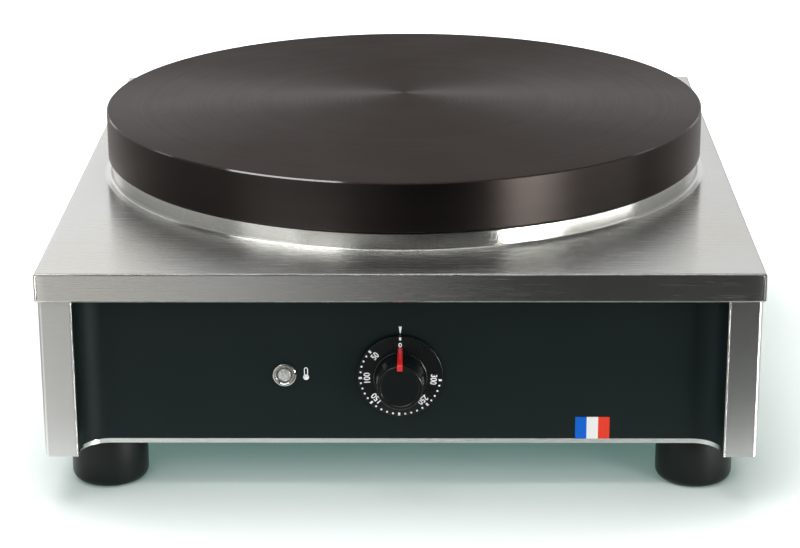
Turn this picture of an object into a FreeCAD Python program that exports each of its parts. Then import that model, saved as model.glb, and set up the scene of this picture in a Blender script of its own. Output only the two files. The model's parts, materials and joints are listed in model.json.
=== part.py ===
import FreeCAD, Part
import math
import os

from FreeCAD import Vector

# Electric crepe maker: a round cast griddle plate on a square stainless body.
# Millimetres. The origin is on the table, under the middle of the body.
# +Z is up, -Y is the front with the control knob, +X is to the right.

# Griddle plate
plate_diameter = 400.0
plate_thickness = 31.5
plate_top_wall = 16.5
plate_rim_wall = 12.0
plate_edge_bevel = 0.8
plate_cast_radius = 4.0
plate_lift = 12.2
boss_diameter = 26.0
boss_height = 8.2
stud_diameter = 8.0
stud_depth = 16.0
stud_washer = 1.6
stud_nut_flats = 13.0
stud_tip = 2.0
nut_height_ratio = 0.8
nut_flats_ratio = 1.65

# Folded sheet body
sheet = 1.2
fit_gap = 0.15
seat_gap = 0.2
pan_side_margin = 16.5
pan_front_margin = 41.0
pan_skirt = 18.0
pan_bend = 1.5
collar_inset = 2.4
collar_gap = 1.2
collar_fillet = 5.0
collar_seam = 0.1
corner_seam = 0.4
corner_notch = 1.4
body_height = 117.0
post_width = 18.8
post_return = 14.0
side_bend = 2.5
bolt_line_inset = 32.85
bolt_edge_distance = 11.0
recess_depth = 22.0
recess_radius = 17.0
rear_recess = 18.65
rear_bend = 3.0
film_thickness = 0.3
film_end_gap = 0.5
bare_lip = 3.0
inner_flange = 18.0
bottom_flange_end = 63.0
top_flange_end = 38.0
weld_stud_diameter = 5.0
weld_stud_length = 9.5
weld_stud_x = 120.0
panel_screw_diameter = 4.0
panel_screw_head = 7.6
panel_screw_head_height = 2.4
panel_screw_length = 8.0
rear_screw_low = 20.0
rear_screw_high = 25.0
vent_slot_width = 3.0
vent_slot_height = 36.0
vent_slot_pitch = 9.0
rear_vent_count = 12
rear_vent_inset = 50.15
tray_vent_length = 60.0
tray_vent_pitch = 12.0
tray_vent_count = 9

# Feet
foot_diameter = 47.4
foot_height = 32.0
foot_round = 6.0
foot_top_edge = 0.8
foot_screw_diameter = 6.0
foot_well_diameter = 15.0
foot_well_depth = 18.0
foot_screw_head = 12.0
foot_screw_head_height = 3.6
foot_screw_tip = 1.5
foot_front_inset = 49.4

# Plate carrier
bridge_y = 60.0
bridge_width = 30.0
bridge_thickness = 2.5
bridge_drop = 24.2
bridge_bend = 4.0
bridge_leg_inset = 16.0
bridge_bolt_diameter = 6.0
bridge_bolt_head = 10.8
bridge_bolt_head_height = 3.0
spacer_diameter = 16.0
spacer_collar_diameter = 26.0
spacer_collar_height = 3.0

# Heating stack
element_tube = 8.5
element_outer_inset = 45.0
element_loop_step = 63.0
element_bend = 12.0
element_start_angle = 97.0
element_outer_sweep = 330.0
element_inner_sweep = 325.0
element_leg_reach = 6.0
element_pin_diameter = 4.0
element_pin_length = 10.0
stack_gap = 0.3
press_thickness = 1.2
press_inset = 18.0
blanket_thickness = 10.0
blanket_inset = 20.0
shield_inset = 16.5
shield_rim = 8.0
hole_room = 0.6

# Sensor and fuse
bulb_diameter = 6.0
bulb_length = 90.0
bulb_y = -20.0
capillary_diameter = 2.0
capillary_reach = 13.0
clip_sheet = 1.0
clip_width = 16.0
clip_ear = 8.0
clip_screw_diameter = 4.0
clip_screw_depth = 6.0
clip_screw_head = 7.0
clip_screw_head_height = 2.2
fuse_diameter = 5.0
fuse_length = 16.0
fuse_x = 40.0

# Thermostat and knob
knob_height = 45.0
thermostat_width = 46.0
thermostat_tall = 36.0
thermostat_deep = 30.0
thermostat_edge = 2.0
thermostat_tab_drop = 10.0
bushing_diameter = 10.0
bushing_reach = 1.5
shaft_diameter = 6.0
shaft_flat = 1.0
shaft_flat_length = 10.0
shaft_engagement = 12.0
running_gap = 0.05
thermostat_screw_pitch = 28.0
thermostat_screw_diameter = 4.0
thermostat_screw_head = 7.6
thermostat_screw_head_height = 2.1
thermostat_screw_depth = 7.0
shaft_end_gap = 0.3
dial_diameter = 52.0
dial_stand_off = 4.0
dial_wall = 1.6
dial_rim_gap = 0.5
dial_bevel = 0.7
knob_reach = 24.6
knob_base_diameter = 33.0
knob_front_diameter = 26.8
knob_wall = 2.4
knob_edge_round = 1.0
knob_hub_diameter = 12.0
knob_clip_wall = 0.6
knob_clip_length = 6.0
knob_clip_inset = 1.0
knob_clip_mouth = 2.0
pointer_width = 3.2
pointer_depth = 1.2
pointer_proud = 1.6
pointer_toe = 2.2
pointer_face_length = 2.4
pointer_chamfer = 0.8

# Pilot lamp
lamp_offset = 70.4
lamp_bezel_diameter = 14.6
lamp_bezel_proud = 2.4
lamp_bezel_round = 1.2
lamp_seat_depth = 0.4
lamp_lens_diameter = 10.6
lamp_lens_dome = 1.2
lamp_barrel_diameter = 9.2
lamp_barrel_length = 16.0
lamp_bulb_diameter = 7.8
lamp_bulb_length = 26.0
lamp_nut_flats = 13.0
lamp_nut_height = 3.0
tab_width = 4.8
tab_thickness = 0.8
tab_length = 7.0

# Striped badge on the fascia
badge_width = 20.9
badge_height = 14.2
badge_x = 117.1
badge_thickness = 0.2

# Cable gland
gland_side_inset = 85.15
gland_height = 37.0
gland_thread_diameter = 20.0
gland_thread_length = 11.0
gland_flats = 24.0
gland_flange = 6.0
gland_cap_length = 15.05
gland_cap_wall = 2.0
gland_nose = 3.0
gland_mouth_gap = 0.5
gland_seal_inset = 0.6
gland_bore_diameter = 13.0
gland_seal_bore = 10.0
gland_seal_length = 12.0
gland_nut_flats = 26.0
gland_nut_height = 5.0

# Supply connection
block_width = 52.0
block_depth = 22.0
block_tall = 18.0
block_side_inset = 90.15
block_rear_gap = 30.0
block_poles = 5
block_slot_width = 1.2
block_slot_depth = 4.0
pole_screw_diameter = 4.0
pole_screw_sink = 0.5
pole_screw_slot = 0.8
earth_step = 55.0
earth_washer = 1.0
earth_stud_diameter = 5.0
earth_stud_length = 16.0
wire_diameter = 2.6

# Worked out from the sizes above
plate_radius = plate_diameter / 2
pan_half_width = plate_radius + pan_side_margin
pan_half_depth = plate_radius + pan_front_margin
base_z = foot_height
pan_top = foot_height + body_height
pan_under = pan_top - sheet
panel_top = pan_under - seat_gap
plate_bottom = pan_top + plate_lift
plate_top = plate_bottom + plate_thickness
plate_ceiling = plate_top - plate_top_wall
boss_bottom = plate_ceiling - boss_height

side_x = pan_half_width - sheet - fit_gap
post_y = pan_half_depth - sheet - fit_gap
post_inner_x = side_x - post_width
fascia_y = -post_y + recess_depth
film_half_width = post_inner_x - fit_gap - sheet - film_thickness
front_panel_back = fascia_y + film_thickness + sheet
rear_face_y = post_y - rear_recess
rear_panel_front = rear_face_y - sheet
bolt_x = side_x - bolt_line_inset
rear_vent_x = rear_vent_inset - side_x
tray_z = base_z + sheet
tray_top = tray_z + sheet

collar_radius = plate_radius - collar_inset
collar_top = plate_bottom - collar_gap

foot_y = pan_half_depth - foot_front_inset
element_outer_loop = plate_radius - element_outer_inset
element_inner_loop = element_outer_loop - element_loop_step
stud_ring = (element_outer_loop + element_inner_loop) / 2
spacer_x = math.sqrt(stud_ring ** 2 - bridge_y ** 2)

element_z = plate_ceiling - stack_gap - element_tube / 2
press_top = element_z - element_tube / 2 - stack_gap
press_z = press_top - press_thickness
blanket_z = press_z - stack_gap - blanket_thickness
shield_top = blanket_z - stack_gap
shield_z = shield_top - sheet
bridge_top = plate_bottom - bridge_drop
bridge_leg_x = bolt_x - bridge_leg_inset

knob_z = base_z + knob_height
dial_front = fascia_y - dial_stand_off
knob_front = fascia_y - knob_reach
bulb_z = plate_ceiling - stack_gap - bulb_diameter / 2
fuse_z = shield_z - stack_gap - fuse_diameter / 2
capillary_x = bulb_length / 2 + capillary_reach
gland_x = side_x - gland_side_inset
gland_z = base_z + gland_height
block_x = side_x - block_side_inset
earth_x = block_x - earth_step
block_y = rear_panel_front - block_rear_gap - block_depth / 2
wire_z = tray_top + block_tall / 2
low_tab_z = knob_z - thermostat_tab_drop

corners = [(-1, -1), (1, -1), (-1, 1), (1, 1)]


def box(x0, x1, y0, y1, z0, z1):
    """A block between two opposite corners."""
    return Part.makeBox(x1 - x0, y1 - y0, z1 - z0, Vector(x0, y0, z0))


def rod(radius, x, y, z, length, direction):
    """A round bar from a point, along a direction."""
    return Part.makeCylinder(radius, length, Vector(x, y, z), Vector(*direction))


def tube(outer, inner, x, y, z, length, direction):
    """A round bar with a hole right through it."""
    body = rod(outer, x, y, z, length, direction)
    return body.cut(rod(inner, x, y, z, length, direction))


def hexagon(flats, x, y, z, length, direction):
    """A six-sided bar from a point, along a direction."""
    corner = flats / math.sqrt(3)
    points = []
    for step in range(7):
        turn = math.radians(60 * step)
        points.append(Vector(corner * math.cos(turn), corner * math.sin(turn), 0))
    bar = Part.Face(Part.makePolygon(points)).extrude(Vector(0, 0, length))
    turned = FreeCAD.Rotation(Vector(0, 0, 1), Vector(*direction))
    bar.Placement = FreeCAD.Placement(Vector(x, y, z), turned)
    return bar


def outline(place, start, steps):
    """A closed face. A step is a corner, or a pair: a point on an arc, then its end."""
    edges = []
    here = start
    for step in list(steps) + [start]:
        if isinstance(step[0], tuple):
            middle, end = step
            edges.append(Part.Arc(place(here), place(middle), place(end)).toShape())
        else:
            end = step
            edges.append(Part.LineSegment(place(here), place(end)).toShape())
        here = end
    return Part.Face(Part.Wire(edges))


def arc_point(centre, radius, degrees):
    """A point on a circle."""
    turn = math.radians(degrees)
    return (centre[0] + radius * math.cos(turn), centre[1] + radius * math.sin(turn))


def turned_upright(x, y, start, steps):
    """A turned piece on a vertical axis, from its half section of radius and height."""
    face = outline(lambda p: Vector(p[0], 0, p[1]), start, steps)
    piece = face.revolve(Vector(0, 0, 0), Vector(0, 0, 1), 360)
    piece.translate(Vector(x, y, 0))
    return piece


def turned_level(x, z, start, steps):
    """A turned piece on an axis along Y, from its half section of radius and depth."""
    face = outline(lambda p: Vector(p[0], p[1], 0), start, steps)
    piece = face.revolve(Vector(0, 0, 0), Vector(0, 1, 0), 360)
    piece.translate(Vector(x, 0, z))
    return piece


def fused(pieces):
    """Several overlapping solids as one."""
    whole = pieces[0].multiFuse(pieces[1:])
    return whole.removeSplitter()


def holed(piece, tools):
    """A piece with every tool cut out of it."""
    for tool in tools:
        piece = piece.cut(tool)
    return piece


def edges_where(shape, test):
    """The straight edges whose two ends both pass a test."""
    found = []
    for edge in shape.Edges:
        ends = edge.Vertexes
        if len(ends) == 2 and test(ends[0].Point) and test(ends[1].Point):
            found.append(edge)
    return found


def near(a, b):
    """True where two sizes are the same."""
    return abs(a - b) < 0.001


def route(points, radius):
    """A wire or thin tube along straight runs joined by tangent arcs."""
    corners_at = [Vector(*point) for point in points]
    edges = []
    here = corners_at[0]
    for before, corner, after in zip(corners_at, corners_at[1:], corners_at[2:]):
        come = (corner - before).normalize()
        leave = (after - corner).normalize()
        half_turn = come.getAngle(leave) / 2
        cut = 0.45 * min((corner - before).Length, (after - corner).Length)
        bend = cut / math.tan(half_turn)
        begin = corner - come * cut
        end = corner + leave * cut
        inward = (leave - come).normalize()
        middle = corner + inward * (bend / math.cos(half_turn) - bend)
        edges.append(Part.LineSegment(here, begin).toShape())
        edges.append(Part.Arc(begin, middle, end).toShape())
        here = end
    edges.append(Part.LineSegment(here, corners_at[-1]).toShape())
    path = Part.Wire(edges)
    along = (corners_at[1] - corners_at[0]).normalize()
    section = Part.Wire(Part.makeCircle(radius, corners_at[0], along))
    return path.makePipeShell([section], True, True)


def pan_head_screw(x, y, z, direction, diameter, head, head_height, length):
    """A round-headed screw. The point given is under the head, where the shank starts."""
    back = [-step for step in direction]
    shank = rod(diameter / 2, x, y, z, length, direction)
    cap = rod(head / 2, x, y, z, head_height, back)
    rim = [edge for edge in cap.Edges if edge.Closed]
    outer = max(rim, key=lambda edge: edge.CenterOfMass.sub(Vector(x, y, z)).Length)
    cap = cap.makeFillet(head_height * 0.6, [outer])
    return cap.fuse(shank).removeSplitter()


# Griddle plate and what carries it

def make_griddle_plate():
    """A turned cast plate, hollow underneath, with four bosses for its studs."""
    inner = plate_radius - plate_rim_wall
    curve = (inner - plate_cast_radius, plate_ceiling - plate_cast_radius)
    body = turned_upright(0, 0, (0, plate_top), [
        (plate_radius - plate_edge_bevel, plate_top),
        (plate_radius, plate_top - plate_edge_bevel),
        (plate_radius, plate_bottom + plate_edge_bevel),
        (plate_radius - plate_edge_bevel, plate_bottom),
        (inner, plate_bottom),
        (inner, curve[1]),
        (arc_point(curve, plate_cast_radius, 45), (curve[0], plate_ceiling)),
        (0, plate_ceiling),
    ])
    bosses = []
    holes = []
    for x_side, y_side in corners:
        x, y = x_side * spacer_x, y_side * bridge_y
        bosses.append(rod(boss_diameter / 2, x, y, boss_bottom, boss_height + 1, (0, 0, 1)))
        holes.append(rod(stud_diameter / 2, x, y, boss_bottom, stud_depth, (0, 0, 1)))
    for y_side in (-1, 1):
        y = bulb_y + y_side * clip_screw_offset(bulb_diameter)
        depth = clip_screw_depth + stack_gap
        radius = clip_screw_diameter / 2 + running_gap
        holes.append(rod(radius, 0, y, plate_ceiling, depth, (0, 0, 1)))
    return holed(fused([body] + bosses), holes)


def make_plate_studs():
    """Four studs screwed up into the plate."""
    low = bridge_top - bridge_thickness - plate_nut_stack() - stud_tip
    top = boss_bottom + stud_depth - 0.5
    studs = []
    for x_side, y_side in corners:
        radius = stud_diameter / 2 - running_gap
        studs.append(rod(radius, x_side * spacer_x, y_side * bridge_y, low, top - low, (0, 0, 1)))
    return studs


def plate_nut_stack():
    """The height of a washer and nut under the carrier bridge."""
    return stud_washer + stud_diameter * nut_height_ratio


def make_plate_spacers():
    """Four collared tubes that hold the plate above the bridges and the shield on their collars."""
    spacers = []
    for x_side, y_side in corners:
        x, y = x_side * spacer_x, y_side * bridge_y
        post = rod(spacer_diameter / 2, x, y, bridge_top, boss_bottom - bridge_top, (0, 0, 1))
        collar_z = shield_z - spacer_collar_height
        collar = rod(spacer_collar_diameter / 2, x, y, collar_z, spacer_collar_height, (0, 0, 1))
        bore_radius = stud_diameter / 2 + seat_gap
        bore = rod(bore_radius, x, y, bridge_top, boss_bottom - bridge_top, (0, 0, 1))
        spacers.append(fused([post, collar]).cut(bore))
    return spacers


def make_plate_nuts():
    """A washer and a nut under the bridge at each stud."""
    pieces = []
    under = bridge_top - bridge_thickness
    bore = stud_diameter / 2 + running_gap
    for x_side, y_side in corners:
        x, y = x_side * spacer_x, y_side * bridge_y
        washer = tube(stud_diameter, bore, x, y, under - stud_washer, stud_washer, (0, 0, 1))
        nut_height = stud_diameter * nut_height_ratio
        nut_z = under - stud_washer - nut_height
        nut = hexagon(stud_nut_flats, x, y, nut_z, nut_height, (0, 0, 1))
        nut = nut.cut(rod(bore, x, y, nut_z, nut_height, (0, 0, 1)))
        pieces.append(washer)
        pieces.append(nut)
    return pieces


def make_bridge(y_side):
    """A bent steel strap that stands on the tray and carries two of the plate's studs."""
    y = y_side * bridge_y
    y0, y1 = y - bridge_width / 2, y + bridge_width / 2
    toe = bolt_x + bolt_edge_distance
    span = box(-bridge_leg_x, bridge_leg_x, y0, y1, tray_top, bridge_top)
    inside = bridge_leg_x - bridge_thickness
    span = span.cut(box(-inside, inside, y0, y1, tray_top, bridge_top - bridge_thickness))
    outer = edges_where(span, lambda p: near(abs(p.x), bridge_leg_x) and near(p.z, bridge_top))
    inner_z = bridge_top - bridge_thickness
    inner = edges_where(span, lambda p: near(abs(p.x), inside) and near(p.z, inner_z))
    span = span.makeFillet(bridge_bend, [edge for edge in outer if is_along_y(edge)])
    inner = edges_where(span, lambda p: near(abs(p.x), inside) and near(p.z, inner_z))
    span = span.makeFillet(bridge_bend - bridge_thickness, [edge for edge in inner if is_along_y(edge)])
    ends = []
    for side in (-1, 1):
        low, high = sorted((side * inside, side * toe))
        ends.append(box(low, high, y0, y1, tray_top, tray_top + bridge_thickness))
    holes = []
    for side in (-1, 1):
        stud_hole = stud_diameter / 2 + seat_gap
        bolt_hole = bridge_bolt_diameter / 2 + seat_gap
        holes.append(rod(stud_hole, side * spacer_x, y, inner_z, bridge_thickness, (0, 0, 1)))
        holes.append(rod(bolt_hole, side * bolt_x, y, tray_top, bridge_thickness, (0, 0, 1)))
    return holed(fused([span] + ends), holes)


def is_along_y(edge):
    """True for an edge that runs front to back."""
    a, b = edge.Vertexes[0].Point, edge.Vertexes[1].Point
    return near(a.x, b.x) and near(a.z, b.z)


def make_bridge_bolts():
    """A round-headed bolt up through each end of a bridge."""
    bolts = []
    nut_height = bridge_bolt_diameter * nut_height_ratio
    length = 2 * sheet + bridge_thickness + nut_height + stud_tip
    for x_side, y_side in corners:
        bolts.append(pan_head_screw(x_side * bolt_x, y_side * bridge_y, base_z, (0, 0, 1),
                                    bridge_bolt_diameter, bridge_bolt_head, bridge_bolt_head_height, length))
    return bolts


def make_nut(diameter, x, y, z, direction):
    """A hexagon nut with a hole for its thread."""
    height = diameter * nut_height_ratio
    nut = hexagon(diameter * nut_flats_ratio, x, y, z, height, direction)
    return nut.cut(rod(diameter / 2 + running_gap, x, y, z, height, direction))


def make_bridge_nuts():
    """A nut on the bridge at each bolt."""
    top = tray_top + bridge_thickness
    return [make_nut(bridge_bolt_diameter, x_side * bolt_x, y_side * bridge_y, top, (0, 0, 1))
            for x_side, y_side in corners]


# Heating stack under the plate

def element_loop_starts():
    """Where each loop meets the bend of its leg."""
    end_angle = element_start_angle + element_outer_sweep - element_inner_sweep
    return [arc_point((0, 0), element_outer_loop, element_start_angle),
            arc_point((0, 0), element_inner_loop, end_angle)]


def element_points():
    """Where the element's two legs go down, one bend away along each loop."""
    legs = []
    for x, y in element_loop_starts():
        radius = math.hypot(x, y)
        legs.append((x + y / radius * element_bend, y - x / radius * element_bend))
    return legs


def loop_arc(radius, start, sweep):
    """Two joined arcs of a loop about the plate's axis."""
    edges = []
    for part in range(2):
        angles = [start + sweep * (part / 2 + step / 4) for step in range(3)]
        points = [Vector(*arc_point((0, 0), radius, angle), element_z) for angle in angles]
        edges.append(Part.Arc(*points).toShape())
    return edges


def leg_edges(x, y, loop_point):
    """A vertical leg and the quarter bend that joins it to its loop."""
    low = shield_z - element_leg_reach
    foot = Vector(x, y, low)
    top = Vector(x, y, element_z - element_bend)
    along = (loop_point - Vector(x, y, element_z)).normalize()
    middle = Vector(x, y, element_z - element_bend)
    middle = middle + along * (element_bend * (1 - math.cos(math.pi / 4)))
    middle = middle + Vector(0, 0, element_bend * math.sin(math.pi / 4))
    return [Part.LineSegment(foot, top).toShape(), Part.Arc(top, middle, loop_point).toShape()]


def make_heating_element():
    """A tubular element: an outer loop, a hairpin, an inner loop and two legs."""
    legs = element_points()
    turn_angle = element_start_angle + element_outer_sweep
    outer = loop_arc(element_outer_loop, element_start_angle, element_outer_sweep)
    inner = loop_arc(element_inner_loop, turn_angle, -element_inner_sweep)
    outer_end = Vector(*arc_point((0, 0), element_outer_loop, turn_angle), element_z)
    inner_end = Vector(*arc_point((0, 0), element_inner_loop, turn_angle), element_z)
    centre = (outer_end + inner_end) * 0.5
    ahead = Vector(*arc_point((0, 0), element_loop_step / 2, turn_angle + 90), 0)
    hairpin = Part.Arc(outer_end, centre + ahead, inner_end).toShape()
    start, last = [Vector(x, y, element_z) for x, y in element_loop_starts()]
    first_leg = leg_edges(legs[0][0], legs[0][1], start)
    last_leg = leg_edges(legs[1][0], legs[1][1], last)
    edges = first_leg + outer + [hairpin] + inner + [last_leg[1], last_leg[0]]
    path = Part.Wire(Part.__sortEdges__(edges))
    low = shield_z - element_leg_reach
    start = Vector(legs[0][0], legs[0][1], low)
    section = Part.Wire(Part.makeCircle(element_tube / 2, start, Vector(0, 0, 1)))
    return path.makePipeShell([section], True, True)


def make_element_pins():
    """A connection pin at the end of each leg."""
    low = shield_z - element_leg_reach
    return [rod(element_pin_diameter / 2, x, y, low - element_pin_length, element_pin_length, (0, 0, 1))
            for x, y in element_points()]


def leg_slot(leg, loop_point, z, height):
    """A slot with round ends, under the bend that joins a leg to its loop."""
    radius = element_tube / 2 + hole_room
    away = Vector(loop_point[0] - leg[0], loop_point[1] - leg[1], 0)
    across = Vector(-away.y, away.x, 0).normalize() * radius
    start = Vector(leg[0], leg[1], z)
    points = [start - across, start + across, start + away + across, start + away - across, start - across]
    middle = Part.Face(Part.makePolygon(points)).extrude(Vector(0, 0, height))
    ends = [rod(radius, point[0], point[1], z, height, (0, 0, 1)) for point in (leg, loop_point)]
    return middle.multiFuse(ends)


def stack_holes(z, height):
    """The openings that the spacers, the legs and the capillary pass through."""
    holes = []
    for x_side, y_side in corners:
        radius = spacer_diameter / 2 + hole_room
        holes.append(rod(radius, x_side * spacer_x, y_side * bridge_y, z, height, (0, 0, 1)))
    for leg, loop_point in zip(element_points(), element_loop_starts()):
        holes.append(leg_slot(leg, loop_point, z, height))
    holes.append(rod(capillary_diameter / 2 + 2 * hole_room, capillary_x, bulb_y, z, height, (0, 0, 1)))
    return holes


def make_press_plate():
    """A steel disc that holds the element up against the plate."""
    radius = plate_radius - press_inset
    disc = rod(radius, 0, 0, press_z, press_thickness, (0, 0, 1))
    return holed(disc, stack_holes(press_z, press_thickness))


def make_insulation_blanket():
    """A thick disc of mineral fibre."""
    radius = plate_radius - blanket_inset
    disc = rod(radius, 0, 0, blanket_z, blanket_thickness, (0, 0, 1))
    return holed(disc, stack_holes(blanket_z, blanket_thickness))


def make_heat_shield():
    """A shallow dish that holds the blanket."""
    radius = plate_radius - shield_inset
    dish = rod(radius, 0, 0, shield_z, shield_rim, (0, 0, 1))
    dish = dish.cut(rod(radius - sheet, 0, 0, shield_top, shield_rim, (0, 0, 1)))
    return holed(dish, stack_holes(shield_z, sheet))


# Sensor and fuse

def clip_screw_offset(held):
    """How far a strap's screw stands from the middle of what the strap holds."""
    return held / 2 + clip_sheet + clip_ear / 2


def strap_clip(x, y, seat_z, held, screw_diameter):
    """A strap folded round a rod that lies under a flat seat, with an ear on each side."""
    half = held / 2 + clip_sheet
    near_x, far_x = x - clip_width / 2, x + clip_width / 2
    deep = held + stack_gap + clip_sheet
    shell = box(near_x, far_x, y - half, y + half, seat_z - deep, seat_z)
    room = held / 2 + stack_gap / 2
    shell = shell.cut(box(near_x, far_x, y - room, y + room, seat_z - held - stack_gap, seat_z))
    parts = [shell]
    for side in (-1, 1):
        low, high = sorted((y + side * (half - clip_sheet / 4), y + side * (half + clip_ear)))
        parts.append(box(near_x, far_x, low, high, seat_z - clip_sheet, seat_z))
    clip = fused(parts)
    if screw_diameter:
        for side in (-1, 1):
            hole_y = y + side * clip_screw_offset(held)
            hole = rod(screw_diameter / 2 + seat_gap, x, hole_y, seat_z - clip_sheet, clip_sheet, (0, 0, 1))
            clip = clip.cut(hole)
    return clip


def make_sensing_bulb():
    """The thermostat's bulb, lying across under the plate."""
    return rod(bulb_diameter / 2, -bulb_length / 2, bulb_y, bulb_z, bulb_length, (1, 0, 0))


def make_bulb_clip():
    """The strap that holds the bulb to the plate."""
    return strap_clip(0, bulb_y, plate_ceiling, bulb_diameter, clip_screw_diameter)


def make_bulb_clip_screws():
    """Two screws up through the strap's ears."""
    screws = []
    for side in (-1, 1):
        y = bulb_y + side * clip_screw_offset(bulb_diameter)
        screws.append(pan_head_screw(0, y, plate_ceiling - clip_sheet, (0, 0, 1), clip_screw_diameter,
                                     clip_screw_head, clip_screw_head_height, clip_sheet + clip_screw_depth))
    return screws


def make_capillary():
    """The fine tube from the bulb down to the thermostat."""
    body_top = knob_z + thermostat_tall / 2
    behind = front_panel_back + thermostat_deep / 2
    return route([
        (bulb_length / 2, bulb_y, bulb_z),
        (capillary_x, bulb_y, bulb_z),
        (capillary_x, bulb_y, shield_z - 14),
        (capillary_x - 2, bulb_y - 10, shield_z - 36),
        (capillary_x - 20, bulb_y - 70, shield_z - 42),
        (24, behind + 36, body_top + 20),
        (8, behind, body_top + 16),
        (8, behind, body_top),
    ], capillary_diameter / 2)


def make_thermal_fuse():
    """A one-shot fuse against the shield."""
    return rod(fuse_diameter / 2, fuse_x - fuse_length / 2, 0, fuse_z, fuse_length, (1, 0, 0))


def make_fuse_clip():
    """The strap that holds the fuse to the shield."""
    clip = strap_clip(fuse_x, 0, shield_z, fuse_diameter, 0)
    return clip.common(box(fuse_x - clip_width / 4, fuse_x + clip_width / 4, -50, 50, 0, shield_z))


# Folded sheet body

def make_plate_collar():
    """The ring round the plate, with a hollow curve at its foot, welded into the pan's hole."""
    centre = (collar_radius + collar_fillet, pan_top + collar_fillet)
    return turned_upright(0, 0, (centre[0], pan_top), [
        (arc_point(centre, collar_fillet, 225), (collar_radius, centre[1])),
        (collar_radius, collar_top),
        (collar_radius - sheet, collar_top),
        (collar_radius - sheet, centre[1]),
        (arc_point(centre, collar_fillet + sheet, 225), (centre[0], pan_under)),
    ])


def top_edges(shape, half_width, half_depth, z):
    """The four edges round the top of a block."""
    def on_rim(p):
        return near(p.z, z) and near(abs(p.x), half_width) and near(abs(p.y), half_depth)
    return edges_where(shape, on_rim)


def make_top_pan():
    """The stainless top: a folded skirt, a round hole for the collar and four weld studs."""
    low = pan_top - pan_skirt
    outer = box(-pan_half_width, pan_half_width, -pan_half_depth, pan_half_depth, low, pan_top)
    outer = outer.makeFillet(pan_bend, top_edges(outer, pan_half_width, pan_half_depth, pan_top))
    inner_x, inner_y = pan_half_width - sheet, pan_half_depth - sheet
    inner = box(-inner_x, inner_x, -inner_y, inner_y, low - 1, pan_under)
    inner = inner.makeFillet(pan_bend - sheet, top_edges(inner, inner_x, inner_y, pan_under))
    shell = outer.cut(inner)
    hole_radius = collar_radius + collar_fillet + collar_seam
    shell = shell.cut(rod(hole_radius, 0, 0, low, pan_skirt + 1, (0, 0, 1)))
    for x_side, y_side in corners:
        x0, x1 = sorted((x_side * inner_x, x_side * (inner_x - corner_seam)))
        y0, y1 = sorted((y_side * inner_y, y_side * (pan_half_depth + 1)))
        shell = shell.cut(box(x0, x1, y0, y1, low - 1, pan_top - pan_bend))
        notch_x, notch_y = x_side * inner_x, y_side * pan_half_depth
        notch_z = pan_under - pan_bend
        notch = rod(corner_notch / 2, notch_x, notch_y, notch_z, pan_bend + sheet + 1, (0, 0, 1))
        shell = shell.cut(notch)
    studs = []
    for x_side, y_side in corners:
        x, y = x_side * weld_stud_x, y_side * weld_stud_y()
        stud_length = weld_stud_length + sheet / 2
        studs.append(rod(weld_stud_diameter / 2, x, y, pan_under - weld_stud_length, stud_length, (0, 0, 1)))
    return fused([shell] + studs)


def weld_stud_y():
    """The depth of the studs, in the middle of the panels' top flanges."""
    return -front_panel_back - inner_flange / 2


def make_pan_nuts():
    """A nut on each weld stud, under the panels' top flanges."""
    pieces = []
    for x_side, y_side in corners:
        x, y, z = x_side * weld_stud_x, y_side * weld_stud_y(), panel_top - sheet
        pieces.append(make_nut(weld_stud_diameter, x, y, z, (0, 0, -1)))
    return pieces


def make_right_side_panel():
    """One side: a wall with a front post, a rear post and a bottom flange, all folded."""
    outer = box(0, side_x, -post_y, post_y, base_z, panel_top)
    inner_x, inner_y, inner_z = side_x - sheet, post_y - sheet, base_z + sheet
    inner = box(-1, inner_x, -inner_y, inner_y, inner_z, panel_top + 1)
    folds = edges_where(outer, lambda p: near(p.x, side_x))
    folds = [edge for edge in folds if not is_level_top(edge, panel_top)]
    outer = outer.makeFillet(side_bend, folds)
    folds = edges_where(inner, lambda p: near(p.x, inner_x))
    folds = [edge for edge in folds if not is_level_top(edge, panel_top + 1)]
    inner = inner.makeFillet(side_bend - sheet, folds)
    shell = outer.cut(inner)
    flange_x = bolt_x - bolt_edge_distance
    flange_y = -front_panel_back - seat_gap
    keep = box(post_inner_x, side_x, -post_y, post_y, base_z, panel_top)
    keep = keep.fuse(box(flange_x, side_x, -flange_y, flange_y, base_z, tray_z))
    shell = shell.common(keep)
    returns = []
    for side in (-1, 1):
        y0, y1 = sorted((side * inner_y, side * (post_y - post_return)))
        returns.append(box(post_inner_x, post_inner_x + sheet, y0, y1, base_z, panel_top))
    holes = []
    for y in (-foot_y, foot_y):
        holes.append(rod(foot_screw_diameter / 2 + seat_gap, bolt_x, y, base_z, sheet, (0, 0, 1)))
    for y in (-bridge_y, bridge_y):
        holes.append(rod(bridge_bolt_diameter / 2 + seat_gap, bolt_x, y, base_z, sheet, (0, 0, 1)))
    for z in rear_screw_heights():
        holes.append(rod(panel_screw_hole(), post_inner_x, rear_screw_y(), z, sheet, (1, 0, 0)))
    return holed(fused([shell] + returns), holes)


def panel_screw_hole():
    """The radius of the holes for the screws that hold the panels."""
    return panel_screw_diameter / 2 + seat_gap


def is_level_top(edge, z):
    """True for an edge that lies along the top."""
    return near(edge.Vertexes[0].Point.z, z) and near(edge.Vertexes[1].Point.z, z)


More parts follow.
